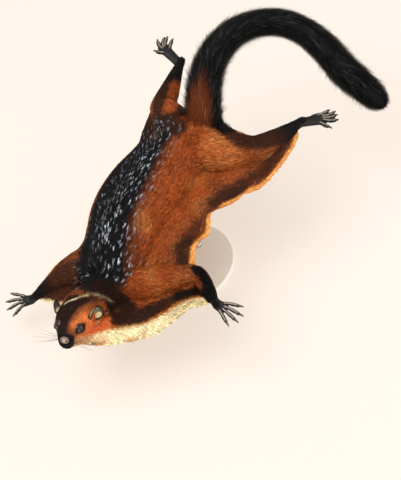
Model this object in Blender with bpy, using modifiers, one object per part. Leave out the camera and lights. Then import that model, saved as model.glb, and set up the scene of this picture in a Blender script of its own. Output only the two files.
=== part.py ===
"""A spotted giant flying squirrel in its glide, life size, on a plain museum stand.

Metres, +Z up. The animal heads along -Y with its left side towards +X. Points on it are given from the
middle of its trunk, MIDDLE, and the origin is the centre of the stand's underside.
"""

import math
import random

import bmesh
import bpy
import numpy as np

# Driving dimensions

MIDDLE = np.array([-0.014, -0.044, 0.146])
GAP = 0.0003
WELD = 0.000002
VOXEL = 0.002
SMOOTHINGS = 10
FLESH_TRIANGLES = 2000
SHARP_ANGLE = 50

# Trunk and neck: centre, half width, rise, depth, bank in degrees (left side up)
TRUNK = (
    ((0.0102, 0.1640, 0.0530), 0.0200, 0.0180, 0.0180, -3),
    ((0.0107, 0.1480, 0.0462), 0.0245, 0.0210, 0.0215, -3),
    ((0.0099, 0.1190, 0.0354), 0.0370, 0.0290, 0.0320, -3),
    ((0.0028, 0.0562, 0.0189), 0.0460, 0.0350, 0.0390, 5),
    ((0.0000, 0.0000, 0.0000), 0.0480, 0.0380, 0.0420, 12),
    ((0.0071, -0.0442, -0.0173), 0.0450, 0.0370, 0.0420, 17),
    ((0.0180, -0.0740, -0.0310), 0.0370, 0.0330, 0.0370, 19),
    ((0.0115, -0.0975, -0.0365), 0.0305, 0.0285, 0.0330, 12),
    ((0.0040, -0.1150, -0.0392), 0.0268, 0.0255, 0.0300, 3),
    ((0.0018, -0.1278, -0.0378), 0.0250, 0.0240, 0.0285, -4),
    ((0.0060, -0.1360, -0.0340), 0.0240, 0.0230, 0.0270, -7),
)
TRUNK_FULLNESS = 2.15
TAIL_CUT = 0.1500
SHOULDER_CUT = -0.0800

# Limbs, joint by joint: centre and radius
LIMBS = {
    "foreleg_left": (
        ((0.0380, -0.0680, -0.0270), 0.0230),
        ((0.0600, -0.0590, -0.0225), 0.0210),
        ((0.0830, -0.0340, -0.0240), 0.0175),
        ((0.1060, -0.0150, -0.0270), 0.0145),
        ((0.1340, -0.0240, -0.0245), 0.0120),
        ((0.1590, -0.0361, -0.0205), 0.0068),
    ),
    "foreleg_right": (
        ((0.0020, -0.0640, -0.0380), 0.0230),
        ((-0.0200, -0.0680, -0.0430), 0.0205),
        ((-0.0430, -0.0790, -0.0500), 0.0175),
        ((-0.0660, -0.0901, -0.0559), 0.0150),
        ((-0.0880, -0.1060, -0.0740), 0.0115),
        ((-0.1089, -0.1266, -0.0959), 0.0068),
    ),
    "hindleg_left": (
        ((0.0260, 0.1130, 0.0380), 0.0300),
        ((0.0500, 0.1270, 0.0370), 0.0290),
        ((0.0720, 0.1420, 0.0345), 0.0240),
        ((0.0898, 0.1564, 0.0337), 0.0190),
        ((0.0990, 0.1880, 0.0280), 0.0135),
        ((0.1053, 0.2239, 0.0213), 0.0078),
    ),
    "hindleg_right": (
        ((-0.0050, 0.1160, 0.0360), 0.0290),
        ((-0.0290, 0.1320, 0.0340), 0.0270),
        ((-0.0520, 0.1460, 0.0290), 0.0225),
        ((-0.0718, 0.1560, 0.0250), 0.0185),
        ((-0.0810, 0.1850, 0.0310), 0.0140),
        ((-0.0890, 0.2166, 0.0402), 0.0078),
    ),
}
LIMB_MARGIN = 0.008

# Skin between the root of the tail and the leg: radii along it, and its height as a part of its width
THIGH_WEB_RADII = ([0.014], [0.013], [0.012], [0.007])
THIGH_WEB_FLAT = 0.6
THIGH_WEB_START = 0.018

# Free edges of the gliding membrane, from the foreleg back to the ankle
FREE_EDGES = {
    "left": (
        (0.1050, -0.0130, -0.0275),
        (0.0915, 0.0080, -0.0135),
        (0.0895, 0.0230, -0.0097),
        (0.0945, 0.0370, -0.0065),
        (0.0840, 0.0590, 0.0049),
        (0.0890, 0.0740, 0.0060),
        (0.1000, 0.0930, 0.0030),
        (0.1015, 0.1110, 0.0045),
        (0.1130, 0.1290, -0.0005),
        (0.1163, 0.1680, 0.0038),
        (0.1150, 0.2050, 0.0115),
        (0.1050, 0.2225, 0.0215),
    ),
    "right": (
        (-0.1080, -0.1250, -0.0940),
        (-0.1070, -0.1040, -0.0835),
        (-0.1010, -0.0790, -0.0725),
        (-0.0913, -0.0580, -0.0701),
        (-0.0893, -0.0353, -0.0654),
        (-0.0962, -0.0154, -0.0595),
        (-0.1055, 0.0080, -0.0500),
        (-0.1097, 0.0380, -0.0385),
        (-0.1060, 0.0740, -0.0270),
        (-0.0960, 0.1090, -0.0165),
        (-0.0900, 0.1374, -0.0048),
        (-0.0950, 0.1600, 0.0155),
        (-0.0970, 0.1870, 0.0310),
        (-0.0880, 0.2140, 0.0380),
    ),
}
NECK_EDGES = {
    "left": (
        (0.0340, -0.1695, -0.0385),
        (0.0535, -0.1575, -0.0420),
        (0.0715, -0.1385, -0.0470),
        (0.1010, -0.1080, -0.0485),
        (0.1170, -0.0840, -0.0385),
        (0.1310, -0.0600, -0.0265),
        (0.1500, -0.0420, -0.0225),
    ),
    "right": (
        (0.0050, -0.1200, -0.0480),
        (-0.0280, -0.1185, -0.0640),
        (-0.0560, -0.1210, -0.0775),
        (-0.0840, -0.1235, -0.0880),
        (-0.1075, -0.1262, -0.0950),
    ),
}
NECK_WEB_DROP = 0.012
MEMBRANE = 0.0046
MEMBRANE_ROWS = 18
MEMBRANE_COLUMNS = (0.0, 0.3, 0.55, 0.77, 0.92, 0.98, 1.0)
MEMBRANE_PROFILE = (1, 1, 1, 1, 1.15, 1.1, 0.5)
FLANK_OUT = 0.5
FLANK_DOWN = 0.15
NECK_WEB_ROWS = 11
NECK_WEB_COLUMNS = (0.0, 0.35, 0.6, 0.8, 0.92, 1.0)
NECK_WEB_PROFILE = (0.25, 0.3, 0.55, 0.95, 0.85, 0.35)
NECK_WEB_WRIST = 0.42
NECK_WEB_THINNEST = 0.0009
BILLOW = {"left": 0.007, "right": 0.004}
ROLL = {"left": 0.0125, "right": 0.0080}

# Head: centre, the way it faces, and stations back to nose (distance, half width, rise, depth)
HEAD_CENTRE = np.array([0.0162, -0.1557, -0.0246])
HEAD_FORWARD = np.array([0.416, -0.823, 0.387])
HEAD_UP = np.array([-0.051, 0.404, 0.914])
HEAD_STATIONS = (
    (-0.0400, 0.0240, 0.0232, 0.0272),
    (-0.0340, 0.0247, 0.0240, 0.0285),
    (-0.0220, 0.0252, 0.0242, 0.0298),
    (-0.0100, 0.0252, 0.0232, 0.0304),
    (0.0000, 0.0240, 0.0213, 0.0300),
    (0.0090, 0.0206, 0.0182, 0.0282),
    (0.0170, 0.0168, 0.0138, 0.0248),
    (0.0235, 0.0142, 0.0104, 0.0212),
    (0.0290, 0.0126, 0.0079, 0.0182),
    (0.0335, 0.0108, 0.0056, 0.0155),
    (0.0365, 0.0080, 0.0026, 0.0122),
)
HEAD_FULLNESS = 2.3
HEAD_SQUARENESS = 0.87
MUZZLE_BEND = 0.0020
HEAD_BACK = -0.0340
EYE_RADIUS = 0.0070
EYE_AT = (0.0150, 25.0)
EYE_SUNK = 0.0042
LID_RADIUS = 0.0015
LID_POINTS = 14
LID_OUT = 0.0032
LIP_RADIUS = 0.0012
LIP_ANGLE = 9
MOUTH_RADIUS = 0.0007
MOUTH = ((0.0165, -36), (0.0230, -42), (0.0285, -50), (0.0330, -60), (0.0356, -80))
NOSE_AT = 0.0350
NOSE_SIZE = np.array([0.0042, 0.0056, 0.0046])
NOSTRIL_RADII = (0.0008, 0.0010)
NOSTRIL_DEPTH = 0.0022
EAR_AT = (-0.0130, 11.0)
EAR_HEIGHT = 0.0185
EAR_HALF_WIDTH = 0.0090
EAR_SUNK = 0.0035
EAR_BACK = 0.004
EAR_HALF_THICKNESS = 0.0007
EAR_RISE = (0.50, -0.22, 0.82)
EAR_OPENING = (0.88, 0.42, -0.10)
EAR_CURL = (115, 55)

# Paws: where they point, how their backs face, their length, and the toes' fan in degrees with their lengths
PAWS = {
    "forepaw_left": ("foreleg_left", (0.975, 0.020, -0.200), (0.300, -0.150, 0.940), 0.0150,
                     ((27, 0.0155), (9, 0.0180), (-6, 0.0175), (-25, 0.0145))),
    "forepaw_right": ("foreleg_right", (-0.740, -0.668, -0.080), (0.100, -0.250, 0.960), 0.0150,
                      ((28, 0.0165), (8, 0.0195), (-9, 0.0205), (-28, 0.0175))),
    "hindfoot_left": ("hindleg_left", (0.500, 0.800, -0.330), (0.420, 0.070, 0.900), 0.0330,
                      ((8, 0.0150), (3, 0.0185), (0, 0.0195), (-8, 0.0185), (-24, 0.0135))),
    "hindfoot_right": ("hindleg_right", (-0.890, 0.360, 0.270), (0.280, -0.060, 0.960), 0.0330,
                       ((44, 0.0125), (27, 0.0160), (10, 0.0175), (-8, 0.0175), (-25, 0.0150))),
}
PALM_HALF_WIDTH = {"forepaw": 0.0088, "hindfoot": 0.0092}
PALM_STATIONS = ((0.30, 0.85, 0.62), (0.62, 0.94, 0.58), (0.88, 1.00, 0.50), (1.0, 0.86, 0.40))
PALM_RISE = 0.8
WRIST_LENGTH = 0.0035
TOE_ROOT = {"outer": 0.70, "inner": 0.86}
TOE_SPREAD = 0.70
TOE_RADIUS = 0.0023
TOE_RADII = (1.15, 1.0, 0.92, 0.85)
TOE_BENDS = ((0.0, 0.0), (0.35, 0.10), (0.66, 0.04), (1.0, -0.13))
CLAW_LENGTH = 0.0075
CLAW_RADII = (0.0013, 0.0009, 0.00035)
CLAW_BENDS = ((0.35, -0.02), (0.72, -0.17), (1.0, -0.42))

# Tail: centreline, core and locks
TAIL_LINE = (
    (0.0104, 0.1500, 0.0470),
    (-0.0082, 0.1824, 0.0661),
    (-0.0203, 0.2174, 0.0799),
    (-0.0212, 0.2521, 0.0862),
    (-0.0101, 0.2879, 0.0851),
    (0.0106, 0.3160, 0.0769),
    (0.0406, 0.3297, 0.0610),
    (0.0742, 0.3310, 0.0423),
    (0.1083, 0.3239, 0.0244),
    (0.1392, 0.3232, 0.0116),
    (0.1780, 0.3200, -0.0045),
)
TAIL_CORE = 0.0105
TAIL_ROOT = 0.0190
TAIL_ROOT_REACH = 0.030
TAIL_TIP = (-0.045, 0.006)
TAIL_TIP_TAPER = 0.88
TAIL_ROOM = ((0.0, 0.0005), (0.010, 0.0015), (0.022, 0.0042), (0.045, 0.0052), (0.080, 0.0055))
RING_SPACING = 0.0235
LOCKS_ROUND = 6
LOCK_LENGTH = 0.051
LOCK_WIDTH = 0.0150
LOCK_THICKNESS = 0.0030
LOCK_STATIONS = ((0.0, 0.35, 0.9), (0.16, 0.80, 1.0), (0.45, 1.0, 1.0), (0.75, 0.80, 0.8), (1.0, 0.10, 0.25))
LOCK_SINK = 0.0025
LOCK_RISE = 0.0045
LOCK_RISE_LENGTH = 0.007
LOCK_SLOPE = (0.205, 0.09)
TIP_LOCKS = 5
RINGS_IN_LENGTHS = (4, 4, 3, 3)
LENGTH_CLEARANCE = 0.0012

# Stand
BASE_RADIUS = 0.066
BASE_THICKNESS = 0.012
ROD_RADIUS = 0.004
ROD_PLACES = {"stand_rod_front": (0.002, -0.032), "stand_rod_rear": (-0.006, 0.030)}
ROD_SOCKET = 0.010
ROD_SEAT = 0.005

COLOURS = {
    "russet": (0.36, 0.13, 0.045),
    "dark": (0.035, 0.022, 0.018),
    "orange": (0.50, 0.21, 0.09),
    "cream": (0.72, 0.58, 0.36),
    "horn": (0.10, 0.08, 0.07),
    "eye": (0.015, 0.008, 0.006),
    "nose": (0.42, 0.30, 0.26),
    "stand": (0.74, 0.72, 0.68),
    "steel": (0.62, 0.62, 0.62),
}


# Curves and frames


def smooth_through(rows, count):
    """Count rows along a smooth curve through the given rows of numbers."""
    rows = np.array(rows, float)
    padded = np.vstack([2 * rows[0] - rows[1], rows, 2 * rows[-1] - rows[-2]])
    place = np.linspace(0, len(rows) - 1, count)
    index = np.minimum(place.astype(int), len(rows) - 2)
    t = (place - index)[:, None]
    a, b, c, d = (padded[index + k] for k in range(4))
    return 0.5 * (2 * b + (c - a) * t + (2 * a - 5 * b + 4 * c - d) * t**2 + (3 * b - a - 3 * c + d) * t**3)


def unit(vectors):
    vectors = np.asarray(vectors, float)
    return vectors / np.linalg.norm(vectors, axis=-1, keepdims=True)


def frames(path, bank=0.0):
    """Forward, left and up along a path, upright but for a bank in degrees that lifts the left."""
    forward = unit(np.gradient(path, axis=0))
    left = unit(np.cross([0.0, 0.0, 1.0], forward))
    up = np.cross(forward, left)
    turn = np.radians(bank * np.ones(len(path)))[:, None]
    return forward, np.cos(turn) * left + np.sin(turn) * up, np.cos(turn) * up - np.sin(turn) * left


def oval(centre, left, up, half_width, rise, depth, sides, fullness=2.0):
    """A ring of points: an oval whose upper and lower halves have their own heights."""
    angle = (np.arange(sides) + 0.5) * 2 * math.pi / sides
    across = np.sign(np.cos(angle)) * abs(np.cos(angle)) ** (2 / fullness)
    high = np.sign(np.sin(angle)) * abs(np.sin(angle)) ** (2 / fullness)
    height = np.where(high > 0, rise, depth)
    return centre + np.outer(across * half_width, left) + np.outer(high * height, up)


# Meshes


def new_object(name, built):
    mesh = bpy.data.meshes.new(name)
    bmesh.ops.recalc_face_normals(built, faces=built.faces)
    built.to_mesh(mesh)
    built.free()
    obj = bpy.data.objects.new(name, mesh)
    bpy.context.scene.collection.objects.link(obj)
    return obj


def loft(name, rings):
    """A closed surface through rings of as many points each, with both ends filled."""
    built = bmesh.new()
    rows = [[built.verts.new(point) for point in ring] for ring in rings]
    for near, far in zip(rows, rows[1:]):
        for k in range(len(near)):
            n = (k + 1) % len(near)
            built.faces.new((near[k], near[n], far[n], far[k]))
    built.faces.new(rows[0])
    built.faces.new(rows[-1])
    return new_object(name, built)


def tube(name, path, radii, sides=12, round_ends=(True, True), flat=1.0, extra=0.0):
    """A tube of varying radius; flat scales its height, extra is added to its radius and its ends."""
    path = np.array(path, float)
    radii = np.array(radii, float) + extra
    forward, left, up = frames(path)
    path[0] -= forward[0] * extra
    path[-1] += forward[-1] * extra
    rings = [oval(p, l, u, r, r * flat, r * flat, sides) for p, l, u, r in zip(path, left, up, radii)]
    for end, inward, rounded in ((0, -1, round_ends[0]), (-1, 1, round_ends[1])):
        for reach, scale in ((0.5, 0.86), (0.86, 0.5)) if rounded else ():
            centre = path[end] + forward[end] * inward * reach * radii[end]
            width = radii[end] * scale
            ring = oval(centre, left[end], up[end], width, width * flat, width * flat, sides)
            rings.insert(0 if end == 0 else len(rings), ring)
    return loft(name, rings)


def settle(obj):
    """Applies an object's modifiers."""
    mesh = bpy.data.meshes.new_from_object(obj.evaluated_get(bpy.context.evaluated_depsgraph_get()))
    obj.modifiers.clear()
    obj.data = mesh
    return obj


def discard(*objects):
    for obj in objects:
        bpy.data.objects.remove(obj)


def fused(name, pieces, voxel, smoothing, triangles):
    """One even, smooth surface over pieces that overlap."""
    built = bmesh.new()
    for piece in pieces:
        built.from_mesh(piece.data)
    discard(*pieces)
    whole = new_object(name, built)
    remesh = whole.modifiers.new("Remesh", "REMESH")
    remesh.mode = "VOXEL"
    remesh.voxel_size = voxel
    smooth = whole.modifiers.new("Smooth", "SMOOTH")
    smooth.factor = 0.5
    smooth.iterations = smoothing
    settle(whole)
    decimate = whole.modifiers.new("Decimate", "DECIMATE")
    decimate.ratio = triangles / (2 * len(whole.data.polygons))
    return settle(whole)


def boolean(obj, operation, others, solver="EXACT"):
    """Joins, cuts or keeps what is common, and removes the other objects."""
    helpers = bpy.data.collections.new("helpers")
    bpy.context.scene.collection.children.link(helpers)
    for other in others:
        helpers.objects.link(other)
    modifier = obj.modifiers.new("Boolean", "BOOLEAN")
    modifier.operation = operation
    modifier.solver = solver
    modifier.operand_type = "COLLECTION"
    modifier.collection = helpers
    settle(obj)
    discard(*others)
    bpy.data.collections.remove(helpers)
    return obj


def copy_of(obj, grown=0.0):
    """A copy of an object, its surface moved outwards."""
    copy = bpy.data.objects.new(obj.name + " copy", obj.data.copy())
    bpy.context.scene.collection.objects.link(copy)
    if grown:
        displace = copy.modifiers.new("Displace", "DISPLACE")
        displace.strength = grown
        displace.mid_level = 0.0
        settle(copy)
    return copy


def largest_surface(obj):
    """Keeps only the largest closed surface of a mesh."""
    built = bmesh.new()
    built.from_mesh(obj.data)
    bmesh.ops.remove_doubles(built, verts=built.verts, dist=WELD)
    bmesh.ops.triangulate(built, faces=built.faces)
    waiting = set(built.faces)
    groups = []
    while waiting:
        group = set()
        front = [waiting.pop()]
        while front:
            face = front.pop()
            group.add(face)
            sound = [edge for edge in face.edges if len(edge.link_faces) == 2]
            near = {other for edge in sound for other in edge.link_faces} & waiting
            waiting -= near
            front.extend(near)
        groups.append(group)
    best = max(groups, key=lambda group: sum(face.calc_area() for face in group))
    others = [face for group in groups if group is not best for face in group]
    bmesh.ops.delete(built, geom=others, context="FACES")
    bmesh.ops.delete(built, geom=[vert for vert in built.verts if not vert.link_faces], context="VERTS")
    built.to_mesh(obj.data)
    built.free()
    return obj


# Flesh


def trunk_path(count=26):
    rows = smooth_through([(*centre, *sizes) for centre, *sizes in TRUNK], count)
    return rows[:, :3] + MIDDLE, rows[:, 3], rows[:, 4], rows[:, 5], rows[:, 6]


def trunk():
    path, widths, rises, depths, banks = trunk_path()
    _, left, up = frames(path, banks)
    stations = zip(path, left, up, widths, rises, depths)
    return loft("trunk", [oval(*station, 20, TRUNK_FULLNESS) for station in stations])


def limb_path(name, count=12, first=0):
    rows = smooth_through([(*centre, radius) for centre, radius in LIMBS[name][first:]], count)
    return rows[:, :3] + MIDDLE, rows[:, 3]


def limb(name):
    path, radii = limb_path(name)
    onward = unit(path[-1] - path[-2]) * radii[-1]
    return tube(name + " flesh", np.vstack([path, path[-1] + onward]), [*radii, radii[-1]])


def limb_region(name, extra=0.0):
    """The space that parts a limb from the trunk: a fatter tube with a round head at its root."""
    path, radii = limb_path(name, 6, 1)
    return tube(name + " region", path, radii + LIMB_MARGIN, 12, (True, False), extra=extra)


def thigh_web(side):
    """The skin between the root of the tail and the leg."""
    knee = np.array(LIMBS["hindleg_" + side][3][0]) + MIDDLE
    shank = np.array(LIMBS["hindleg_" + side][4][0]) + MIDDLE
    root = np.array(TRUNK[1][0]) + MIDDLE
    outward = unit(knee - root)
    before_knee = (root + knee) / 2 + (0, 0.006, 0)
    after_knee = knee * 0.7 + shank * 0.3 - outward * 0.006
    path = [root + outward * THIGH_WEB_START, before_knee, after_knee, shank]
    radii = smooth_through(THIGH_WEB_RADII, 8)[:, 0]
    return tube("thigh web", smooth_through(path, 8), radii, flat=THIGH_WEB_FLAT)


def slab(name, centre, forward, length, reach=0.080):
    """A box that starts at a plane and runs forward."""
    forward = unit(forward)
    left = unit(np.cross([0.0, 0.0, 1.0], forward))
    up = np.cross(forward, left)
    corners = ((1, 1), (-1, 1), (-1, -1), (1, -1))
    ring = np.array([left * a * reach + up * b * reach for a, b in corners])
    return loft(name, [ring + centre, ring + centre + forward * length])


def station_at(y):
    """Centre and forward direction of the trunk where it passes a distance from the middle."""
    path, *_ = trunk_path(200)
    forward, _, _ = frames(path)
    index = int(np.argmin(abs(path[:, 1] - MIDDLE[1] - y)))
    return path[index], forward[index]


def head_frame():
    forward = unit(HEAD_FORWARD)
    left = unit(np.cross(HEAD_UP, forward))
    return forward, left, np.cross(forward, left)


# Membranes


def patch(front, rear, inner, outer, columns):
    """A grid of points between four edges; front and rear run from inner to outer."""
    rows = len(inner)
    along = np.linspace(0, 1, rows)[:, None, None]
    across = np.array(columns)[None, :, None]
    front = smooth_through(front, 101)[(np.array(columns) * 100).astype(int)]
    rear = smooth_through(rear, 101)[(np.array(columns) * 100).astype(int)]
    corners = (1 - along) * ((1 - across) * front[0] + across * front[-1])
    corners = corners + along * ((1 - across) * rear[0] + across * rear[-1])
    sides = (1 - across) * inner[:, None] + across * outer[:, None]
    return sides + (1 - along) * front + along * rear - corners


def sheet(name, grid, half_thickness):
    """A solid sheet about a grid of points; half_thickness has one value for each point or column."""
    normal = unit(np.cross(np.gradient(grid, axis=0), np.gradient(grid, axis=1)))
    offset = normal * np.broadcast_to(half_thickness, grid.shape[:2])[..., None]
    return loft(name, [np.vstack([p + d, (p - d)[::-1]]) for p, d in zip(grid, offset)])


def membrane(side):
    """The gliding membrane from wrist or elbow to ankle."""
    sign = 1 if side == "left" else -1
    arm = np.array([centre for centre, _ in LIMBS["foreleg_" + side]]) + MIDDLE
    arm = arm[:4] if side == "left" else arm
    leg = np.array([centre for centre, _ in LIMBS["hindleg_" + side]]) + MIDDLE
    outer = smooth_through(FREE_EDGES[side], MEMBRANE_ROWS) + MIDDLE
    path, widths, _, depths, banks = trunk_path(60)
    _, left, up = frames(path, banks)
    flank = path + left * (sign * FLANK_OUT * widths)[:, None] - up * (FLANK_DOWN * depths)[:, None]
    nearest_arm = int(np.argmin(np.linalg.norm(flank - arm[0], axis=1)))
    nearest_leg = int(np.argmin(np.linalg.norm(flank - leg[0], axis=1)))
    inner = smooth_through([arm[0], *flank[nearest_arm - 4:nearest_leg + 3:-5], leg[0]], MEMBRANE_ROWS)
    grid = patch([*arm[:-1], outer[0]], [*leg[:-1], outer[-1]], inner, outer, MEMBRANE_COLUMNS)
    swell = np.outer(np.sin(np.linspace(0, math.pi, MEMBRANE_ROWS)), np.sin(np.array(MEMBRANE_COLUMNS) * math.pi))
    grid[..., 2] += BILLOW[side] * swell
    return sheet("patagium_" + side, grid, MEMBRANE / 2 * np.array(MEMBRANE_PROFILE))


def neck_web(side):
    """The membrane before the foreleg, which ends in a thick roll of throat fur."""
    arm = smooth_through([centre for centre, _ in LIMBS["foreleg_" + side]], NECK_WEB_ROWS + 1)[:-1] + MIDDLE
    arm[:, 2] -= NECK_WEB_DROP * np.linspace(1, 0, NECK_WEB_ROWS)
    outer = smooth_through(NECK_EDGES[side], NECK_WEB_ROWS) + MIDDLE
    columns = np.array(NECK_WEB_COLUMNS)[None, :, None]
    grid = (1 - columns) * arm[:, None] + columns * outer[:, None]
    thin = np.linspace(1, NECK_WEB_WRIST, NECK_WEB_ROWS)[:, None]
    half = np.array(NECK_WEB_PROFILE) * ROLL[side] / 2
    return sheet("neck_web_" + side, grid, np.maximum(half * thin, NECK_WEB_THINNEST))


# Head


def head_axis(distance):
    """The middle of the head at a distance forward of its centre; the muzzle bends a little to the left."""
    forward, left, _ = head_frame()
    bend = MUZZLE_BEND * max(distance / HEAD_STATIONS[-1][0], 0.0) ** 2
    return MIDDLE + HEAD_CENTRE + forward * distance + left * bend


def head_point(distance, angle, out=0.0):
    """A point of the head's surface: distance forward of its centre, angle up from its left side."""
    _, left, up = head_frame()
    stations = np.array(HEAD_STATIONS)
    width, rise, depth = (np.interp(distance, stations[:, 0], stations[:, k]) for k in (1, 2, 3))
    turn = math.radians(angle)
    across = math.copysign(abs(math.cos(turn)) ** HEAD_SQUARENESS, math.cos(turn))
    high = math.copysign(abs(math.sin(turn)) ** HEAD_SQUARENESS, math.sin(turn))
    offset = left * across * width + up * high * (rise if high > 0 else depth)
    return head_axis(distance) + offset * (1 + out / np.linalg.norm(offset))


def head_normal(distance, angle):
    step = 0.002
    ahead = head_point(distance + step, angle) - head_point(distance - step, angle)
    around = head_point(distance, angle + 6) - head_point(distance, angle - 6)
    normal = unit(np.cross(ahead, around))
    return normal if normal @ (head_point(distance, angle) - head_axis(distance)) > 0 else -normal


def ball(name, centre, radius, segments=12):
    built = bmesh.new()
    bmesh.ops.create_uvsphere(built, u_segments=segments, v_segments=segments // 2, radius=radius)
    bmesh.ops.translate(built, verts=built.verts, vec=centre)
    return new_object(name, built)


def eye_centre(side):
    distance, angle = EYE_AT
    angle = angle if side == "left" else 180 - angle
    return head_point(distance, angle) - head_normal(distance, angle) * EYE_SUNK, head_normal(distance, angle)


def lids(side):
    """A ring of lid round the eye, drawn out towards both its corners."""
    centre, outward = eye_centre(side)
    forward, _, _ = head_frame()
    along = unit(forward - outward * (forward @ outward))
    across = np.cross(outward, along)
    turns = np.linspace(0, 2 * math.pi, LID_POINTS + 1)[:-1]
    ring = []
    for turn in turns:
        wide = EYE_RADIUS * (0.98 + 0.14 * abs(math.cos(turn)) ** 3)
        out = outward * LID_OUT
        ring.append(centre + out + along * wide * math.cos(turn) + across * wide * 0.9 * math.sin(turn))
    rings = []
    for k, point in enumerate(ring):
        tangent = unit(ring[(k + 1) % LID_POINTS] - ring[k - 1])
        side_way = np.cross(tangent, outward)
        angles = np.arange(6) * math.pi / 3
        rings.append([point + LID_RADIUS * (side_way * math.cos(a) + outward * math.sin(a)) for a in angles])
    built = bmesh.new()
    rows = [[built.verts.new(p) for p in section] for section in rings]
    for row, after in zip(rows, rows[1:] + rows[:1]):
        for j in range(6):
            built.faces.new((row[j], row[j - 5], after[j - 5], after[j]))
    return new_object("lid", built)


def mouth_line(out, lower=0.0):
    """Points from the left corner of the mouth round the muzzle to the right one."""
    left = [head_point(u, a - lower, out) for u, a in MOUTH]
    right = [head_point(u, 180 - a + lower, out) for u, a in MOUTH[::-1]]
    return smooth_through(left + right, 13)


def head():
    rows = smooth_through(HEAD_STATIONS, 16)
    forward, left, up = head_frame()
    rings = [oval(head_axis(u), left, up, w, r, d, 18, HEAD_FULLNESS) for u, w, r, d in rows]
    last, w, r, d = rows[-1]
    tip = head_axis(last + 0.0016) - up * 0.0035
    rings.append(oval(tip, left, up, w * 0.6, r * 0.6, d * 0.4, 18, HEAD_FULLNESS))
    skull = loft("head", rings)
    extras = [lids("left"), lids("right")]
    for lower in (LIP_ANGLE, -LIP_ANGLE):
        line = mouth_line(-0.0002, lower)
        extras.append(tube("lip", line, np.full(len(line), LIP_RADIUS), 6))
    boolean(skull, "UNION", extras)
    line = mouth_line(0.0003)
    cuts = [tube("mouth", line, np.full(len(line), MOUTH_RADIUS), 6)]
    for side in ("left", "right"):
        cuts.append(ball("socket", eye_centre(side)[0], EYE_RADIUS + GAP))
    cuts.append(slab("neck side", head_axis(HEAD_BACK + GAP), -forward, 0.1))
    cuts.append(nose_pad("nose seat", GAP))
    boolean(skull, "DIFFERENCE", cuts)
    return largest_surface(skull)


def nose_pad(name, extra=0.0):
    """The broad oval of the nose."""
    forward, left, up = head_frame()
    pad = ball(name, (0, 0, 0), 1.0, 10)
    size = NOSE_SIZE + extra
    centre = head_axis(NOSE_AT)
    for vert in pad.data.vertices:
        ahead, aside, above = np.array(vert.co) * size
        vert.co = centre + forward * ahead + left * aside + up * above
    return pad


def nose():
    forward, left, up = head_frame()
    pad = nose_pad("nose")
    centre = head_axis(NOSE_AT)
    cuts = []
    for sign in (1, -1):
        start = centre + forward * NOSE_SIZE[0] * 0.55 + left * sign * NOSE_SIZE[1] * 0.35
        path = [start, start + (forward + left * sign) * NOSTRIL_DEPTH + up * 0.0004]
        cuts.append(tube("nostril", path, NOSTRIL_RADII, 6, (False, False)))
    boolean(pad, "DIFFERENCE", cuts)
    return largest_surface(pad)


def ear(side):
    """A cupped ear, open outwards and forwards."""
    sign = 1 if side == "left" else -1
    distance, angle = EAR_AT
    angle = angle if side == "left" else 180 - angle
    base = head_point(distance, angle, -EAR_SUNK)
    forward, left, up = head_frame()
    ways = np.array([left * sign, forward, up])
    rise = unit(EAR_RISE @ ways)
    opening = unit(EAR_OPENING @ ways)
    opening = unit(opening - rise * (opening @ rise))
    across = np.cross(rise, opening)
    rows = []
    for h in np.linspace(0, 1, 6):
        width = EAR_HALF_WIDTH * (0.72 + 0.55 * math.sin(h * 2.2)) * math.sqrt(max(1 - (h * 0.97) ** 4, 0.0))
        row = []
        for v in np.linspace(-1, 1, 7):
            curl = v * math.radians(EAR_CURL[0] - EAR_CURL[1] * h)
            cup = width * (1 - math.cos(curl)) * 0.85 - EAR_BACK
            row.append(base + rise * h * EAR_HEIGHT + across * width * math.sin(curl) * 1.1 + opening * cup)
        rows.append(row)
    return sheet("ear_" + side, np.array(rows), EAR_HALF_THICKNESS)


# Paws


def paw(name):
    """A palm or sole with toes that bend down, each ending in a curved claw."""
    leg, forward, up, length, toes = PAWS[name]
    path, radii = limb_path(leg)
    wrist_way = unit(path[-1] - path[-2])
    forward = unit(forward)
    up = unit(np.array(up) - forward * (forward @ np.array(up)))
    side_way = np.cross(up, forward)
    start = path[-1] + wrist_way * GAP
    width = PALM_HALF_WIDTH[name.split("_")[0]]
    wrist_left = unit(side_way - wrist_way * (side_way @ wrist_way))
    rings = [oval(start, wrist_left, np.cross(wrist_way, wrist_left), *[radii[-1]] * 3, 10)]
    turn_from = start + wrist_way * WRIST_LENGTH
    for part, broad, thick in PALM_STATIONS:
        sizes = (width * broad, width * thick * PALM_RISE, width * thick)
        rings.append(oval(turn_from + forward * length * part, side_way, up, *sizes, 10, HEAD_FULLNESS))
    palm = loft(name, rings)
    pieces = []
    for number, (fan, toe_length) in enumerate(toes):
        place = 1 - 2 * number / (len(toes) - 1)
        along = TOE_ROOT["outer" if abs(place) > 0.9 else "inner"]
        root = turn_from + forward * length * along + side_way * width * TOE_SPREAD * place
        way = unit(forward * math.cos(math.radians(fan)) + side_way * math.sin(math.radians(fan)))
        points = [root + way * toe_length * a + up * toe_length * b for a, b in TOE_BENDS]
        points += [points[-1] + (way * a + up * b) * CLAW_LENGTH for a, b in CLAW_BENDS]
        toe_radii = [TOE_RADIUS * r for r in TOE_RADII] + [*CLAW_RADII]
        pieces.append(tube("toe", points, toe_radii, 6, (True, False)))
    boolean(palm, "UNION", pieces)
    return largest_surface(palm)


# Tail


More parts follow.
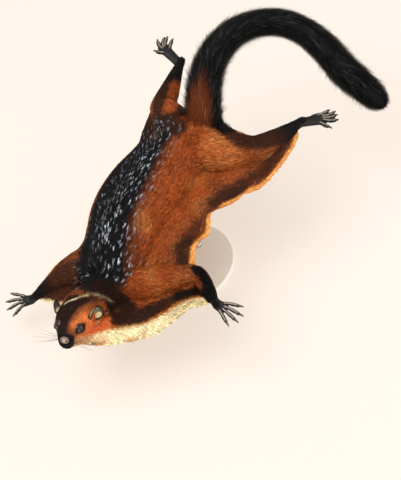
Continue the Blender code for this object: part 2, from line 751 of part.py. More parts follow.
class TailLine:
    """The tail's centreline, read by the distance from its root."""

    def __init__(self):
        self.path = smooth_through(TAIL_LINE, 400) + MIDDLE
        steps = np.linalg.norm(np.diff(self.path, axis=0), axis=1)
        self.run = np.concatenate([[0], np.cumsum(steps)])
        self.forward, self.left, self.up = frames(self.path)
        self.length = self.run[-1]

    def at(self, distance):
        """Centre, forward, left and up at a distance from the root."""
        index = int(np.argmin(abs(self.run - distance)))
        beyond = distance - self.run[index]
        centre = self.path[index] + self.forward[index] * beyond
        return centre, self.forward[index], self.left[index], self.up[index]


def core_radius(distance):
    return TAIL_CORE + (TAIL_ROOT - TAIL_CORE) * math.exp(-((distance / TAIL_ROOT_REACH) ** 2))


def end_taper(distance, length):
    """Draws the brush in to a round end."""
    start, end = length + TAIL_TIP[0], length + TAIL_TIP[1]
    past = min(max((distance - start) / (end - start), 0.0), 1.0)
    return math.sqrt(1 - TAIL_TIP_TAPER * past**2)


def tail_room(line):
    """The space that the root of the brush fills."""
    path = [line.at(distance)[0] for distance, _ in TAIL_ROOM]
    radii = [TAIL_ROOT + room for _, room in TAIL_ROOM]
    return tube("tail room", path, radii, 14, (False, False))


def lock(line, root, angle, length, width, slope, curl, lift):
    """One flat, tapered lock that leaves the core at root and lies back along the tail."""
    rings = []
    for part, broad, thick in LOCK_STATIONS:
        along = part * length
        centre, forward, left, up = line.at(root + along)
        start_rise = min(along / LOCK_RISE_LENGTH, 1.0) * (LOCK_RISE + lift)
        radius = core_radius(root + along) - LOCK_SINK + start_rise
        radius += slope * max(along - LOCK_RISE_LENGTH, 0.0)
        radius *= end_taper(root + along, line.length)
        turn = angle + curl * part**2
        out = left * math.cos(turn) + up * math.sin(turn)
        around = np.cross(forward, out)
        middle = centre + out * radius
        half_width = width / 2 * broad
        half_thick = LOCK_THICKNESS / 2 * thick
        sag = out * half_width**2 / (2 * radius)
        rings.append([middle + around * half_width - sag, middle + out * half_thick,
                      middle - around * half_width - sag, middle - out * half_thick])
    return loft("lock", rings)


def tail_length(number, line, draw):
    """One length of the tail: its core and the locks that grow from it."""
    first = sum(RINGS_IN_LENGTHS[:number])
    after = first + RINGS_IN_LENGTHS[number]
    joints = [sum(RINGS_IN_LENGTHS[:k]) for k in range(1, len(RINGS_IN_LENGTHS))]
    cuts = [0.0] + [RING_SPACING * (0.5 + ring) - 0.003 for ring in joints] + [line.length - 0.022]
    start, end = cuts[number] + (GAP if number == 0 else 0.0), cuts[number + 1] - GAP
    sections = []
    for station in np.linspace(start, end, 8):
        centre, _, left, up = line.at(station)
        radius = core_radius(station) * end_taper(station, line.length)
        sections.append(oval(centre, left, up, radius, radius, radius, 8))
    last = after == sum(RINGS_IN_LENGTHS)
    core = loft(f"tail_{number + 1}", sections)
    locks = []
    for ring in range(first, after):
        root = RING_SPACING * (ring + 0.5)
        lift = LENGTH_CLEARANCE if ring == after - 1 else 0.0
        lift = -LENGTH_CLEARANCE if ring == first and number else lift
        swell = LOCK_SLOPE[0] + LOCK_SLOPE[1] * math.sin(math.pi * min(ring / 11, 1.0) ** 1.5)
        for k in range(LOCKS_ROUND):
            angle = 2 * math.pi * (k + 0.5 * (ring % 2)) / LOCKS_ROUND + draw.uniform(-0.07, 0.07)
            length = LOCK_LENGTH * draw.uniform(0.88, 1.08)
            width = LOCK_WIDTH * draw.uniform(0.92, 1.08)
            locks.append(lock(line, root, angle, length, width, swell, draw.uniform(-0.15, 0.15), lift))
    if last:
        for k in range(TIP_LOCKS):
            angle = 2 * math.pi * k / TIP_LOCKS + 0.3
            locks.append(lock(line, line.length - 0.034, angle, 0.040, 0.011, 0.02, 0.3, 0.0))
    boolean(core, "UNION", locks, "MANIFOLD")
    return largest_surface(core)


# Stand


def cylinder(name, centre, radius, low, high, segments=16):
    built = bmesh.new()
    sizes = {"radius1": radius, "radius2": radius, "depth": high - low}
    bmesh.ops.create_cone(built, cap_ends=True, segments=segments, **sizes)
    bmesh.ops.translate(built, verts=built.verts, vec=(*centre, (low + high) / 2))
    return new_object(name, built)


def rod_top(place):
    """Where a rod ends, inside the belly above its place on the base."""
    path, _, _, depths, _ = trunk_path(200)
    index = int(np.argmin(abs(path[:, 1] - place[1])))
    return path[index, 2] - depths[index] + ROD_SOCKET


def stand():
    base = cylinder("stand_base", (0, 0), BASE_RADIUS, 0.0, BASE_THICKNESS, 40)
    rods = []
    for name, place in ROD_PLACES.items():
        seat = cylinder("seat", place, ROD_RADIUS + GAP, BASE_THICKNESS - ROD_SEAT, BASE_THICKNESS + ROD_SEAT)
        boolean(base, "DIFFERENCE", [seat])
        rods.append(cylinder(name, place, ROD_RADIUS, BASE_THICKNESS - ROD_SEAT + GAP, rod_top(place)))
    return [largest_surface(base), *rods]


def rod_sockets():
    places = ROD_PLACES.values()
    return [cylinder("socket", place, ROD_RADIUS + GAP, 0.0, rod_top(place) + GAP) for place in places]


# The whole model


def material(name, colour, roughness, metallic=0.0):
    made = bpy.data.materials.new(name)
    made.use_nodes = True
    shader = made.node_tree.nodes["Principled BSDF"]
    shader.inputs["Base Color"].default_value = (*COLOURS[colour], 1.0)
    shader.inputs["Roughness"].default_value = roughness
    shader.inputs["Metallic"].default_value = metallic
    return made


def finish_part(obj, collection, colour, roughness=0.7, metallic=0.0):
    obj.data.materials.clear()
    obj.data.materials.append(material(obj.name, colour, roughness, metallic))
    obj.data.shade_smooth()
    obj.data.set_sharp_from_angle(angle=math.radians(SHARP_ANGLE))
    for linked in list(obj.users_collection):
        linked.objects.unlink(obj)
    collection.objects.link(obj)


def renamed(obj, name):
    obj.name = name
    return obj


def main():
    for obj in list(bpy.data.objects):
        bpy.data.objects.remove(obj)
    model = bpy.data.collections.new("flying_squirrel")
    bpy.context.scene.collection.children.link(model)

    webs = [thigh_web("left"), thigh_web("right")]
    limbs = [limb(name) for name in LIMBS]
    flesh = fused("flesh", [trunk(), *webs, *limbs], VOXEL, SMOOTHINGS, FLESH_TRIANGLES)
    line = TailLine()
    boolean(flesh, "DIFFERENCE", [tail_room(line)])
    whole_head = head()

    for side in ("left", "right"):
        for make in (membrane, neck_web):
            web = make(side)
            boolean(web, "DIFFERENCE", [copy_of(flesh, GAP), copy_of(whole_head, GAP)], "MANIFOLD")
            finish_part(largest_surface(web), model, "russet")

    remainder = copy_of(flesh)
    for name in LIMBS:
        leg = boolean(copy_of(flesh), "INTERSECT", [limb_region(name)])
        finish_part(renamed(largest_surface(leg), name), model, "dark")
        boolean(remainder, "DIFFERENCE", [limb_region(name, GAP)])

    forward, _, _ = head_frame()
    nape = head_axis(HEAD_BACK)
    shoulder, shoulder_way = station_at(SHOULDER_CUT)
    rump, rump_way = station_at(TAIL_CUT)
    neck = copy_of(remainder)
    cuts = [slab("head side", nape, forward, 0.1), slab("trunk side", shoulder, -shoulder_way, 0.5)]
    boolean(neck, "DIFFERENCE", cuts)
    finish_part(renamed(largest_surface(neck), "neck"), model, "russet")
    cuts = [slab("neck side", shoulder - shoulder_way * GAP, shoulder_way, 0.2)]
    cuts.append(slab("tail side", rump, -rump_way, 0.1))
    torso = boolean(remainder, "DIFFERENCE", [*cuts, *rod_sockets()])
    finish_part(renamed(largest_surface(torso), "torso"), model, "russet")
    discard(flesh)

    for side in ("left", "right"):
        pinna = boolean(ear(side), "DIFFERENCE", [copy_of(whole_head, GAP)])
        finish_part(largest_surface(pinna), model, "cream")
        finish_part(ball("eye_" + side, eye_centre(side)[0], EYE_RADIUS), model, "eye", 0.08)
    finish_part(whole_head, model, "orange")
    finish_part(nose(), model, "nose", 0.4)

    for name in PAWS:
        finish_part(paw(name), model, "horn", 0.5)

    draw = random.Random(7)
    for number in range(len(RINGS_IN_LENGTHS)):
        finish_part(tail_length(number, line, draw), model, "dark")

    base, *rods = stand()
    finish_part(base, model, "stand", 0.6)
    for rod in rods:
        finish_part(rod, model, "steel", 0.3, 1.0)


main()
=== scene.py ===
"""The looks of the spotted giant flying squirrel in its glide, on its plain display stand.

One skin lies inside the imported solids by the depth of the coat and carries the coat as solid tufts. The
brush of the tail grows from a skin of its own. Metres, +Z up; points on the animal are given from the
middle of its trunk, MIDDLE.
"""

import math

import bmesh
import bpy
import numpy as np
from mathutils import Matrix, Vector, noise
from mathutils.kdtree import KDTree


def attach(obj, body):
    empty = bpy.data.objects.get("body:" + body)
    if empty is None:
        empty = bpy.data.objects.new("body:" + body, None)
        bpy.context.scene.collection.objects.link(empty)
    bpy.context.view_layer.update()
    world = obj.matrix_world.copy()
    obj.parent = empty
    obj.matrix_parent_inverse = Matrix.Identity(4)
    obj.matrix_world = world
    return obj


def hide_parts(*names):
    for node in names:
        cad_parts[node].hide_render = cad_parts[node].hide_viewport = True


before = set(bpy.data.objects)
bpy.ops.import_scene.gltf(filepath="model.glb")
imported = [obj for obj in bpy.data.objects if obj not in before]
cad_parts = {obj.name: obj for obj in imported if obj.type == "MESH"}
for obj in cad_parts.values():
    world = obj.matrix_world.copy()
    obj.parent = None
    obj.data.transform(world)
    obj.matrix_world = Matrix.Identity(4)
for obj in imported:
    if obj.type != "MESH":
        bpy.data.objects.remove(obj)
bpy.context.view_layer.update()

# The animal's own sizes, as the solids have them

MIDDLE = np.array([-0.014, -0.044, 0.146])
SIDES = ("left", "right")

TRUNK = (
    ((0.0102, 0.1640, 0.0530), 0.0200, 0.0180, 0.0180, -3),
    ((0.0107, 0.1480, 0.0462), 0.0245, 0.0210, 0.0215, -3),
    ((0.0099, 0.1190, 0.0354), 0.0370, 0.0290, 0.0320, -3),
    ((0.0028, 0.0562, 0.0189), 0.0460, 0.0350, 0.0390, 5),
    ((0.0000, 0.0000, 0.0000), 0.0480, 0.0380, 0.0420, 12),
    ((0.0071, -0.0442, -0.0173), 0.0450, 0.0370, 0.0420, 17),
    ((0.0180, -0.0740, -0.0310), 0.0370, 0.0330, 0.0370, 19),
    ((0.0115, -0.0975, -0.0365), 0.0305, 0.0285, 0.0330, 12),
    ((0.0040, -0.1150, -0.0392), 0.0268, 0.0255, 0.0300, 3),
    ((0.0018, -0.1278, -0.0378), 0.0250, 0.0240, 0.0285, -4),
    ((0.0060, -0.1360, -0.0340), 0.0240, 0.0230, 0.0270, -7),
)

LIMBS = {
    "foreleg_left": (
        ((0.0380, -0.0680, -0.0270), 0.0230),
        ((0.0600, -0.0590, -0.0225), 0.0210),
        ((0.0830, -0.0340, -0.0240), 0.0175),
        ((0.1060, -0.0150, -0.0270), 0.0145),
        ((0.1340, -0.0240, -0.0245), 0.0120),
        ((0.1590, -0.0361, -0.0205), 0.0068),
    ),
    "foreleg_right": (
        ((0.0020, -0.0640, -0.0380), 0.0230),
        ((-0.0200, -0.0680, -0.0430), 0.0205),
        ((-0.0430, -0.0790, -0.0500), 0.0175),
        ((-0.0660, -0.0901, -0.0559), 0.0150),
        ((-0.0880, -0.1060, -0.0740), 0.0115),
        ((-0.1089, -0.1266, -0.0959), 0.0068),
    ),
    "hindleg_left": (
        ((0.0260, 0.1130, 0.0380), 0.0300),
        ((0.0500, 0.1270, 0.0370), 0.0290),
        ((0.0720, 0.1420, 0.0345), 0.0240),
        ((0.0898, 0.1564, 0.0337), 0.0190),
        ((0.0990, 0.1880, 0.0280), 0.0135),
        ((0.1053, 0.2239, 0.0213), 0.0078),
    ),
    "hindleg_right": (
        ((-0.0050, 0.1160, 0.0360), 0.0290),
        ((-0.0290, 0.1320, 0.0340), 0.0270),
        ((-0.0520, 0.1460, 0.0290), 0.0225),
        ((-0.0718, 0.1560, 0.0250), 0.0185),
        ((-0.0810, 0.1850, 0.0310), 0.0140),
        ((-0.0890, 0.2166, 0.0402), 0.0078),
    ),
}

FREE_EDGES = {
    "left": (
        (0.1050, -0.0130, -0.0275),
        (0.0915, 0.0080, -0.0135),
        (0.0895, 0.0230, -0.0097),
        (0.0945, 0.0370, -0.0065),
        (0.0840, 0.0590, 0.0049),
        (0.0890, 0.0740, 0.0060),
        (0.1000, 0.0930, 0.0030),
        (0.1015, 0.1110, 0.0045),
        (0.1130, 0.1290, -0.0005),
        (0.1163, 0.1680, 0.0038),
        (0.1150, 0.2050, 0.0115),
        (0.1050, 0.2225, 0.0215),
    ),
    "right": (
        (-0.1080, -0.1250, -0.0940),
        (-0.1070, -0.1040, -0.0835),
        (-0.1010, -0.0790, -0.0725),
        (-0.0913, -0.0580, -0.0701),
        (-0.0893, -0.0353, -0.0654),
        (-0.0962, -0.0154, -0.0595),
        (-0.1055, 0.0080, -0.0500),
        (-0.1097, 0.0380, -0.0385),
        (-0.1060, 0.0740, -0.0270),
        (-0.0960, 0.1090, -0.0165),
        (-0.0900, 0.1374, -0.0048),
        (-0.0950, 0.1600, 0.0155),
        (-0.0970, 0.1870, 0.0310),
        (-0.0880, 0.2140, 0.0380),
    ),
}
NECK_EDGES = {
    "left": (
        (0.0340, -0.1695, -0.0385),
        (0.0535, -0.1575, -0.0420),
        (0.0715, -0.1385, -0.0470),
        (0.1010, -0.1080, -0.0485),
        (0.1170, -0.0840, -0.0385),
        (0.1310, -0.0600, -0.0265),
        (0.1500, -0.0420, -0.0225),
    ),
    "right": (
        (0.0050, -0.1200, -0.0480),
        (-0.0280, -0.1185, -0.0640),
        (-0.0560, -0.1210, -0.0775),
        (-0.0840, -0.1235, -0.0880),
        (-0.1075, -0.1262, -0.0950),
    ),
}
NECK_WEB_DROP = 0.012
BILLOW = {"left": 0.007, "right": 0.004}
ROLL = {"left": 0.0125, "right": 0.0080}
ROLL_SECTION = ((0, 0.35, 0.6, 0.8, 0.92, 1), (0.25, 0.3, 0.55, 0.95, 0.85, 0.35))

HEAD_CENTRE = np.array([0.0162, -0.1557, -0.0246])
HEAD_FORWARD = np.array([0.416, -0.823, 0.387])
HEAD_UP = np.array([-0.051, 0.404, 0.914])
HEAD_STATIONS = (
    (-0.0400, 0.0240, 0.0232, 0.0272),
    (-0.0340, 0.0247, 0.0240, 0.0285),
    (-0.0220, 0.0252, 0.0242, 0.0298),
    (-0.0100, 0.0252, 0.0232, 0.0304),
    (0.0000, 0.0240, 0.0213, 0.0300),
    (0.0090, 0.0206, 0.0182, 0.0282),
    (0.0170, 0.0168, 0.0138, 0.0248),
    (0.0235, 0.0142, 0.0104, 0.0212),
    (0.0290, 0.0126, 0.0079, 0.0182),
    (0.0335, 0.0108, 0.0056, 0.0155),
    (0.0365, 0.0080, 0.0026, 0.0122),
)
MUZZLE_BEND = 0.0020
EYE_RADIUS = 0.0070
EYE_AT = (0.0150, 25.0)
EYE_SUNK = 0.0042
MOUTH = ((0.0165, -36), (0.0230, -42), (0.0285, -50), (0.0330, -60), (0.0356, -80))
NOSE_AT = 0.0350
NOSE_SIZE = np.array([0.0044, 0.0062, 0.0044])
EAR_AT = (-0.0130, 11.0)
EAR_HEIGHT = 0.0185
EAR_HALF_WIDTH = 0.0090

# Each paw: its leg, the way it points, the way its back faces, its palm's length, and its toes' fan in
# degrees, length and sway
PAWS = {
    "forepaw_left": ("foreleg_left", (0.975, 0.020, -0.200), (0.300, -0.150, 0.940), 0.0150,
                     ((27, 0.0155, 0.0), (9, 0.0180, 0.0), (-6, 0.0175, 0.0), (-25, 0.0145, 0.0))),
    "forepaw_right": ("foreleg_right", (-0.740, -0.668, -0.080), (0.100, -0.250, 0.960), 0.0150,
                      ((28, 0.0165, 0.0), (8, 0.0195, 0.0), (-9, 0.0205, 0.0), (-28, 0.0175, 0.0))),
    "hindfoot_left": ("hindleg_left", (0.500, 0.800, -0.330), (0.420, 0.070, 0.900), 0.0370,
                       ((-3, 0.0150, 0.3), (-6, 0.0160, 0.3), (-12, 0.0165, 0.3), (-24, 0.0155, 0.3),
                       (-38, 0.0110, 0.1))),
    "hindfoot_right": ("hindleg_right", (-0.955, 0.193, 0.278), (0.280, -0.060, 0.960), 0.0392,
                       ((42, 0.0085, -0.2), (8, 0.0115, -0.4), (-18, 0.0115, -0.4), (-34, 0.0115, -0.25),
                        (-45, 0.0110, -0.15))),
}
PALM_HALF_WIDTH = {"forepaw": 0.0088, "hindfoot": 0.0084}
TOE_RADIUS = 0.0023
TOE_STOUT = {"forepaw": 1.0, "hindfoot": 1.15}
TOE_BENDS = {
    "forepaw": (0.06, 0.12, 0.19, 0.20, 0.10, 0.02, -0.10),
    "hindfoot": (0.06, 0.12, 0.16, 0.14, 0.08, 0.04, 0.00),
}
TOE_PARTS = (-0.45, -0.20, 0.08, 0.36, 0.64, 0.86, 1.02)
TOE_RADII = (0.75, 0.90, 1.10, 0.92, 1.12, 0.98, 1.00)
PALM_SECTIONS = ((0.05, 0.80, 0.68), (0.30, 0.82, 0.60), (0.62, 0.92, 0.54), (0.88, 0.98, 0.46),
                 (1.0, 0.80, 0.36))
CLAW_LENGTH = 0.0075
CLAW_BENDS = ((0.0, 0.05), (0.35, 0.02), (0.72, -0.17), (0.95, -0.48))
CLAW_RADII = (0.0012, 0.0015, 0.0013, 0.0009, 0.00015)
CLAW_TIP, CLAW_SUNK = 0.00012, 0.0016
PAW_VOXEL = 0.0005

TAIL_LINE = (
    (0.0104, 0.1500, 0.0470),
    (-0.0082, 0.1824, 0.0661),
    (-0.0203, 0.2174, 0.0799),
    (-0.0212, 0.2521, 0.0862),
    (-0.0101, 0.2879, 0.0851),
    (0.0106, 0.3160, 0.0769),
    (0.0406, 0.3297, 0.0610),
    (0.0742, 0.3310, 0.0423),
    (0.1083, 0.3239, 0.0244),
    (0.1392, 0.3232, 0.0116),
    (0.1780, 0.3200, -0.0045),
)
TAIL_CORE = 0.0105
TAIL_ROOT = 0.0190

BASE_RADIUS = 0.066
BASE_THICKNESS = 0.012
ROD_RADIUS = 0.004
ROD_PLACES = {"stand_rod_front": (0.002, -0.032), "stand_rod_rear": (-0.006, 0.030)}
ROD_SOCKET = 0.010

# The skin's depth below the solids, and its mesh

TRUNK_DEPTH = 0.0030
LIMB_DEPTH = 0.0018
HEAD_DEPTH = 0.0013
MEMBRANE_HALF = 0.0014
SKIN_VOXEL = 0.0015
SMOOTHINGS = 12
CHUNK = 4000
EDGE_INSET = {"left": 0.0010, "right": 0.0035}
HEAD_REACH = 0.052
FACE_REAR = -0.024
BROW_RADIUS, BROW_SPREAD, BROW_HEIGHT = 0.0092, 0.0024, 0.0007
MOUTH_SPREAD, MOUTH_DEPTH = 0.0011, 0.0011
LIP_AWAY, LIP_HEIGHT = 0.0026, 0.0005
THIGH_WEB_RADII = (0.014, 0.013, 0.012, 0.007)

# Markings: lines of points on the coat, from MIDDLE

BAND_LEFT = (
    (0.0035, 0.1330, 0.0640),
    (0.0060, 0.0956, 0.0601),
    (0.0105, 0.0709, 0.0569),
    (0.0165, 0.0426, 0.0505),
    (0.0205, 0.0173, 0.0439),
    (0.0270, -0.0105, 0.0333),
    (0.0375, -0.0300, 0.0204),
    (0.0460, -0.0484, 0.0050),
    (0.0560, -0.0694, -0.0041),
    (0.0520, -0.0900, -0.0200),
)
BAND_RIGHT = (
    (-0.0657, 0.1300, 0.0226),
    (-0.0874, 0.1078, -0.0056),
    (-0.0947, 0.0826, -0.0147),
    (-0.0930, 0.0445, -0.0192),
    (-0.0855, 0.0098, -0.0256),
    (-0.0746, -0.0222, -0.0370),
    (-0.0549, -0.0528, -0.0365),
    (-0.0273, -0.0782, -0.0269),
    (0.0068, -0.1017, -0.0092),
)
BAND_REAR = 0.126
BAND_SOFTNESS = (-0.024, 0.008)
FLECK_BRIGHTEST = (
    (-0.0285, 0.0830, 0.0457),
    (-0.0236, 0.0367, 0.0435),
    (-0.0142, 0.0007, 0.0374),
    (-0.0025, -0.0309, 0.0283),
    (0.0106, -0.0591, 0.0166),
    (0.0294, -0.0810, 0.0015),
)
CROWN_RIM = (
    (-0.0045, -0.1433, -0.0100),
    (0.0024, -0.1296, -0.0110),
    (0.0083, -0.1146, -0.0166),
    (0.0217, -0.1075, -0.0158),
    (0.0327, -0.1036, -0.0194),
    (0.0400, -0.1022, -0.0250),
)
RED_STREAK = (
    (0.0386, -0.1558, -0.0273),
    (0.0428, -0.1452, -0.0335),
    (0.0480, -0.1380, -0.0345),
    (0.0540, -0.1310, -0.0356),
)
THIGH_BORDER = (
    (0.0330, 0.1520, 0.0500),
    (0.0591, 0.1444, 0.0594),
    (0.0831, 0.1463, 0.0552),
    (0.0987, 0.1625, 0.0487),
    (0.1067, 0.1876, 0.0385),
    (0.1089, 0.2109, 0.0311),
)
# Dark fur and painted shade in creases and folds: a line, the distance at which it is fullest and at which it
# ends, and its strength
DARK_FUR_AND_SHADE_MARKS = (
    (((0.0222, -0.1139, -0.0301), (0.0320, -0.1107, -0.0337), (0.0439, -0.1130, -0.0356),
      (0.0560, -0.1130, -0.0370)), 0.005, 0.011, 0.95),
    (((0.0560, -0.1150, -0.0373), (0.0673, -0.1086, -0.0373), (0.0745, -0.0970, -0.0377),
      (0.0832, -0.0829, -0.0378)), 0.007, 0.014, 0.95),
    (((0.0832, -0.0829, -0.0378), (0.0940, -0.0648, -0.0370), (0.1034, -0.0486, -0.0347),
      (0.1255, -0.0329, -0.0247)), 0.005, 0.011, 0.95),
    (((0.0865, -0.0121, -0.0142), (0.0776, -0.0023, -0.0059), (0.0800, 0.0092, -0.0006)), 0.002, 0.018, 0.90),
    (((0.0803, 0.0232, 0.0046), (0.0800, 0.0350, 0.0076)), 0.001, 0.014, 0.65),
    (((0.0847, 0.0681, 0.0170), (0.0883, 0.0806, 0.0177), (0.0946, 0.0931, 0.0158), (0.1000, 0.1095, 0.0152)),
     0.002, 0.017, 0.85),
    (((0.1018, 0.1271, 0.0175), (0.1077, 0.1402, 0.0148), (0.1080, 0.1627, 0.0192), (0.1123, 0.2047, 0.0254)),
     0.002, 0.016, 0.75),
    (((0.0470, 0.0820, 0.0500), (0.0660, 0.0860, 0.0330), (0.0830, 0.0900, 0.0200)), 0.002, 0.018, 0.45),
    (((-0.0900, 0.1700, 0.0250), (-0.0850, 0.1450, 0.0080), (-0.0820, 0.1230, 0.0000)), 0.010, 0.019, 0.88),
    (((-0.0200, -0.0850, -0.0270), (-0.0040, -0.1030, -0.0150)), 0.003, 0.013, 0.75),
    (((-0.0730, 0.1246, 0.0207), (-0.0490, 0.1207, 0.0470), (-0.0207, 0.1197, 0.0622),
      (-0.0060, 0.1209, 0.0633)), 0.009, 0.021, 0.88),
    (((-0.0805, 0.2054, 0.0442), (-0.0820, 0.1809, 0.0439), (-0.0756, 0.1598, 0.0425),
      (-0.0587, 0.1347, 0.0473), (-0.0471, 0.1183, 0.0464)), 0.008, 0.014, 0.92),
    (((-0.0379, 0.1190, 0.0551), (-0.0284, 0.1265, 0.0608), (-0.0206, 0.1380, 0.0600)), 0.003, 0.010, 0.85),
    (((-0.0206, 0.1413, 0.0576), (-0.0420, 0.1672, 0.0390), (-0.0620, 0.1920, 0.0400)), 0.004, 0.009, 0.85),
    (((-0.1038, -0.1298, -0.0903), (-0.0891, -0.1203, -0.0843), (-0.0739, -0.1213, -0.0812),
      (-0.0627, -0.1137, -0.0730), (-0.0450, -0.1042, -0.0665)), 0.006, 0.016, 0.85),
)
LIGHT_MARKS = (
    (((0.0540, 0.1180, 0.0620), (0.0800, 0.1250, 0.0500)), 0.004, 0.026, 0.28),
)
CHEEK = ((0.0431, -0.1606, -0.0361), (0.0496, -0.1519, -0.0356), (0.0562, -0.1438, -0.0365),
         (0.0640, -0.1330, -0.0380))
# The long black fur on the front of the left foreleg
FORELEG_CREST = ((0.1085, -0.0102, -0.0143), (0.1221, -0.0127, -0.0147), (0.1369, -0.0206, -0.0141),
                 (0.1510, -0.0320, -0.0138))
# Black fur, and painted shade in the crease where the left foreleg meets its neck web
BLACK_FUR_AND_SHADE_MARKS = (
    (((0.0190, 0.1600, 0.0540), (0.0250, 0.1617, 0.0407), (0.0360, 0.1560, 0.0480),
      (0.0500, 0.1500, 0.0560)), 0.008, 0.015, 0.95),
    (((-0.0060, 0.1560, 0.0560), (-0.0130, 0.1500, 0.0480), (-0.0260, 0.1440, 0.0480)), 0.004, 0.010, 0.85),
    (FORELEG_CREST, 0.005, 0.011, 1.0),
    (((0.1034, -0.0486, -0.0347), (0.1129, -0.0384, -0.0316), (0.1255, -0.0329, -0.0247)), 0.003, 0.009, 0.9),
)
NAPE = ((0.0100, -0.1000, -0.0060), (0.0201, -0.1023, -0.0077), (0.0312, -0.1004, -0.0109),
        (0.0412, -0.0984, -0.0174), (0.0473, -0.0956, -0.0279), (0.0560, -0.0943, -0.0345))
NAPE_SIDE = ((0.0473, -0.0956, -0.0279), (0.0590, -0.0965, -0.0348), (0.0710, -0.0985, -0.0370))
CHIN = ((0.0409, -0.1791, -0.0201), (0.0388, -0.1692, -0.0303), (0.0469, -0.1619, -0.0384),
        (0.0569, -0.1544, -0.0406), (0.0651, -0.1446, -0.0425), (0.0780, -0.1330, -0.0440))
RED_WASH = ((0.0395, -0.1575, -0.0338), (0.0407, -0.1448, -0.0334), (0.0455, -0.1300, -0.0340))
FORELEG_RED = ((0.1308, -0.0300, -0.0156), (0.1214, -0.0266, -0.0156))
SHANK_PATCH = ((-0.0730, 0.1944, 0.0391), (-0.0676, 0.1786, 0.0378), (-0.0481, 0.1530, 0.0505))
# The dark crown's edge: distance forward of the head's centre and angle up from its left side
CROWN_EDGE = ((-0.0285, 52), (-0.0148, 64), (-0.0049, 74), (0.0059, 81), (0.0134, 89), (0.0223, 94),
              (0.0320, 96))
EAR_TUFT = (-0.0045, 32)
BAND_LIMITS = ((BAND_LEFT, 1, -0.019, 0.009), (BAND_RIGHT, -1, 0.004, 0.011))
RIM_WIDTHS = {"left": (0.0036, 1.0), "right": (0.0014, 0.6)}
THROAT_WIDTHS = {"left": 0.0175, "right": 0.0030}
ON_LEG = (0.001, 0.006)
ON_WEB = (0.001, 0.004)

RNG = np.random.default_rng(11)


def rgb(red, green, blue):
    """A linear colour from the 0 to 255 values of a screen."""
    value = np.array([red, green, blue]) / 255
    return np.where(value <= 0.04045, value / 12.92, ((value + 0.055) / 1.055) ** 2.4)


RUSSET = rgb(142, 64, 21)
LIGHT_RUSSET = rgb(206, 128, 70)
BROWN = rgb(112, 54, 22)
DARK_BROWN = rgb(64, 30, 12)
SHADE = rgb(40, 20, 9)
BAND = rgb(13, 12, 13)
FLECK = rgb(206, 214, 224)
CREAM = rgb(238, 220, 172)
BUFF = rgb(222, 174, 118)
OCHRE = rgb(198, 142, 78)
RIM = rgb(226, 152, 76)
ORANGE = rgb(214, 114, 58)
RED = rgb(208, 78, 44)
BLACK = rgb(13, 12, 11)
GREY = rgb(128, 128, 128)
GREEN_GREY = rgb(140, 136, 104)
TAIL_BLACK = rgb(6, 8, 8)


# Curves, frames and plain helpers


def smooth_through(rows, count):
    """Count rows along a smooth curve through the given rows of numbers."""
    rows = np.array(rows, float)
    padded = np.vstack([2 * rows[0] - rows[1], rows, 2 * rows[-1] - rows[-2]])
    place = np.linspace(0, len(rows) - 1, count)
    index = np.minimum(place.astype(int), len(rows) - 2)
    t = (place - index)[:, None]
    a, b, c, d = (padded[index + k] for k in range(4))
    return 0.5 * (2 * b + (c - a) * t + (2 * a - 5 * b + 4 * c - d) * t**2 + (3 * b - a - 3 * c + d) * t**3)


def smooth_line(values, count):
    """Count numbers along a smooth curve through the given numbers."""
    return smooth_through([[value] for value in values], count)[:, 0]


def unit(vectors):
    vectors = np.asarray(vectors, float)
    return vectors / np.maximum(np.linalg.norm(vectors, axis=-1, keepdims=True), 1e-12)


def lengths(vectors):
    return np.linalg.norm(vectors, axis=-1)


def frames(path, bank=0.0):
    """Forward, left and up along a path, upright but for a bank in degrees that lifts the left."""
    forward = unit(np.gradient(path, axis=0))
    left = unit(np.cross([0.0, 0.0, 1.0], forward))
    up = np.cross(forward, left)
    turn = np.radians(bank * np.ones(len(path)))[:, None]
    return forward, np.cos(turn) * left + np.sin(turn) * up, np.cos(turn) * up - np.sin(turn) * left


def oval(centre, left, up, half_width, rise, depth, sides, fullness=2.0):
    """A ring of points: an oval whose upper and lower halves have their own heights."""
    angle = (np.arange(sides) + 0.5) * 2 * math.pi / sides
    across = np.sign(np.cos(angle)) * abs(np.cos(angle)) ** (2 / fullness)
    high = np.sign(np.sin(angle)) * abs(np.sin(angle)) ** (2 / fullness)
    height = np.where(high > 0, rise, depth)
    return centre + np.outer(across * half_width, left) + np.outer(high * height, up)


def ramp(value, low, high):
    """0 below low and 1 above high, eased between them."""
    t = np.clip((value - low) / (high - low), 0, 1)
    return t * t * (3 - 2 * t)


def fade(value, low, high):
    """1 below low and 0 above high."""
    return 1 - ramp(value, low, high)


def mixed(colours, target, amount):
    """Colours moved towards a target by an amount from 0 to 1 for each."""
    return colours + (target - colours) * np.clip(amount, 0, 1)[:, None]


def nearest(points, cloud):
    """For each point the index of the nearest of a cloud, and how far it is."""
    best = np.empty(len(points), int)
    squares = (cloud**2).sum(1)
    for start in range(0, len(points), CHUNK):
        part = points[start:start + CHUNK]
        best[start:start + CHUNK] = np.argmin(squares - 2 * part @ cloud.T, axis=1)
    return best, lengths(points - cloud[best])


def from_line(points, line, count=60):
    """Distance of points from a smooth line given from MIDDLE, and the part of the line nearest to them."""
    index, away = nearest(points, smooth_through(line, count) + MIDDLE)
    return away, index / (count - 1)


# Meshes


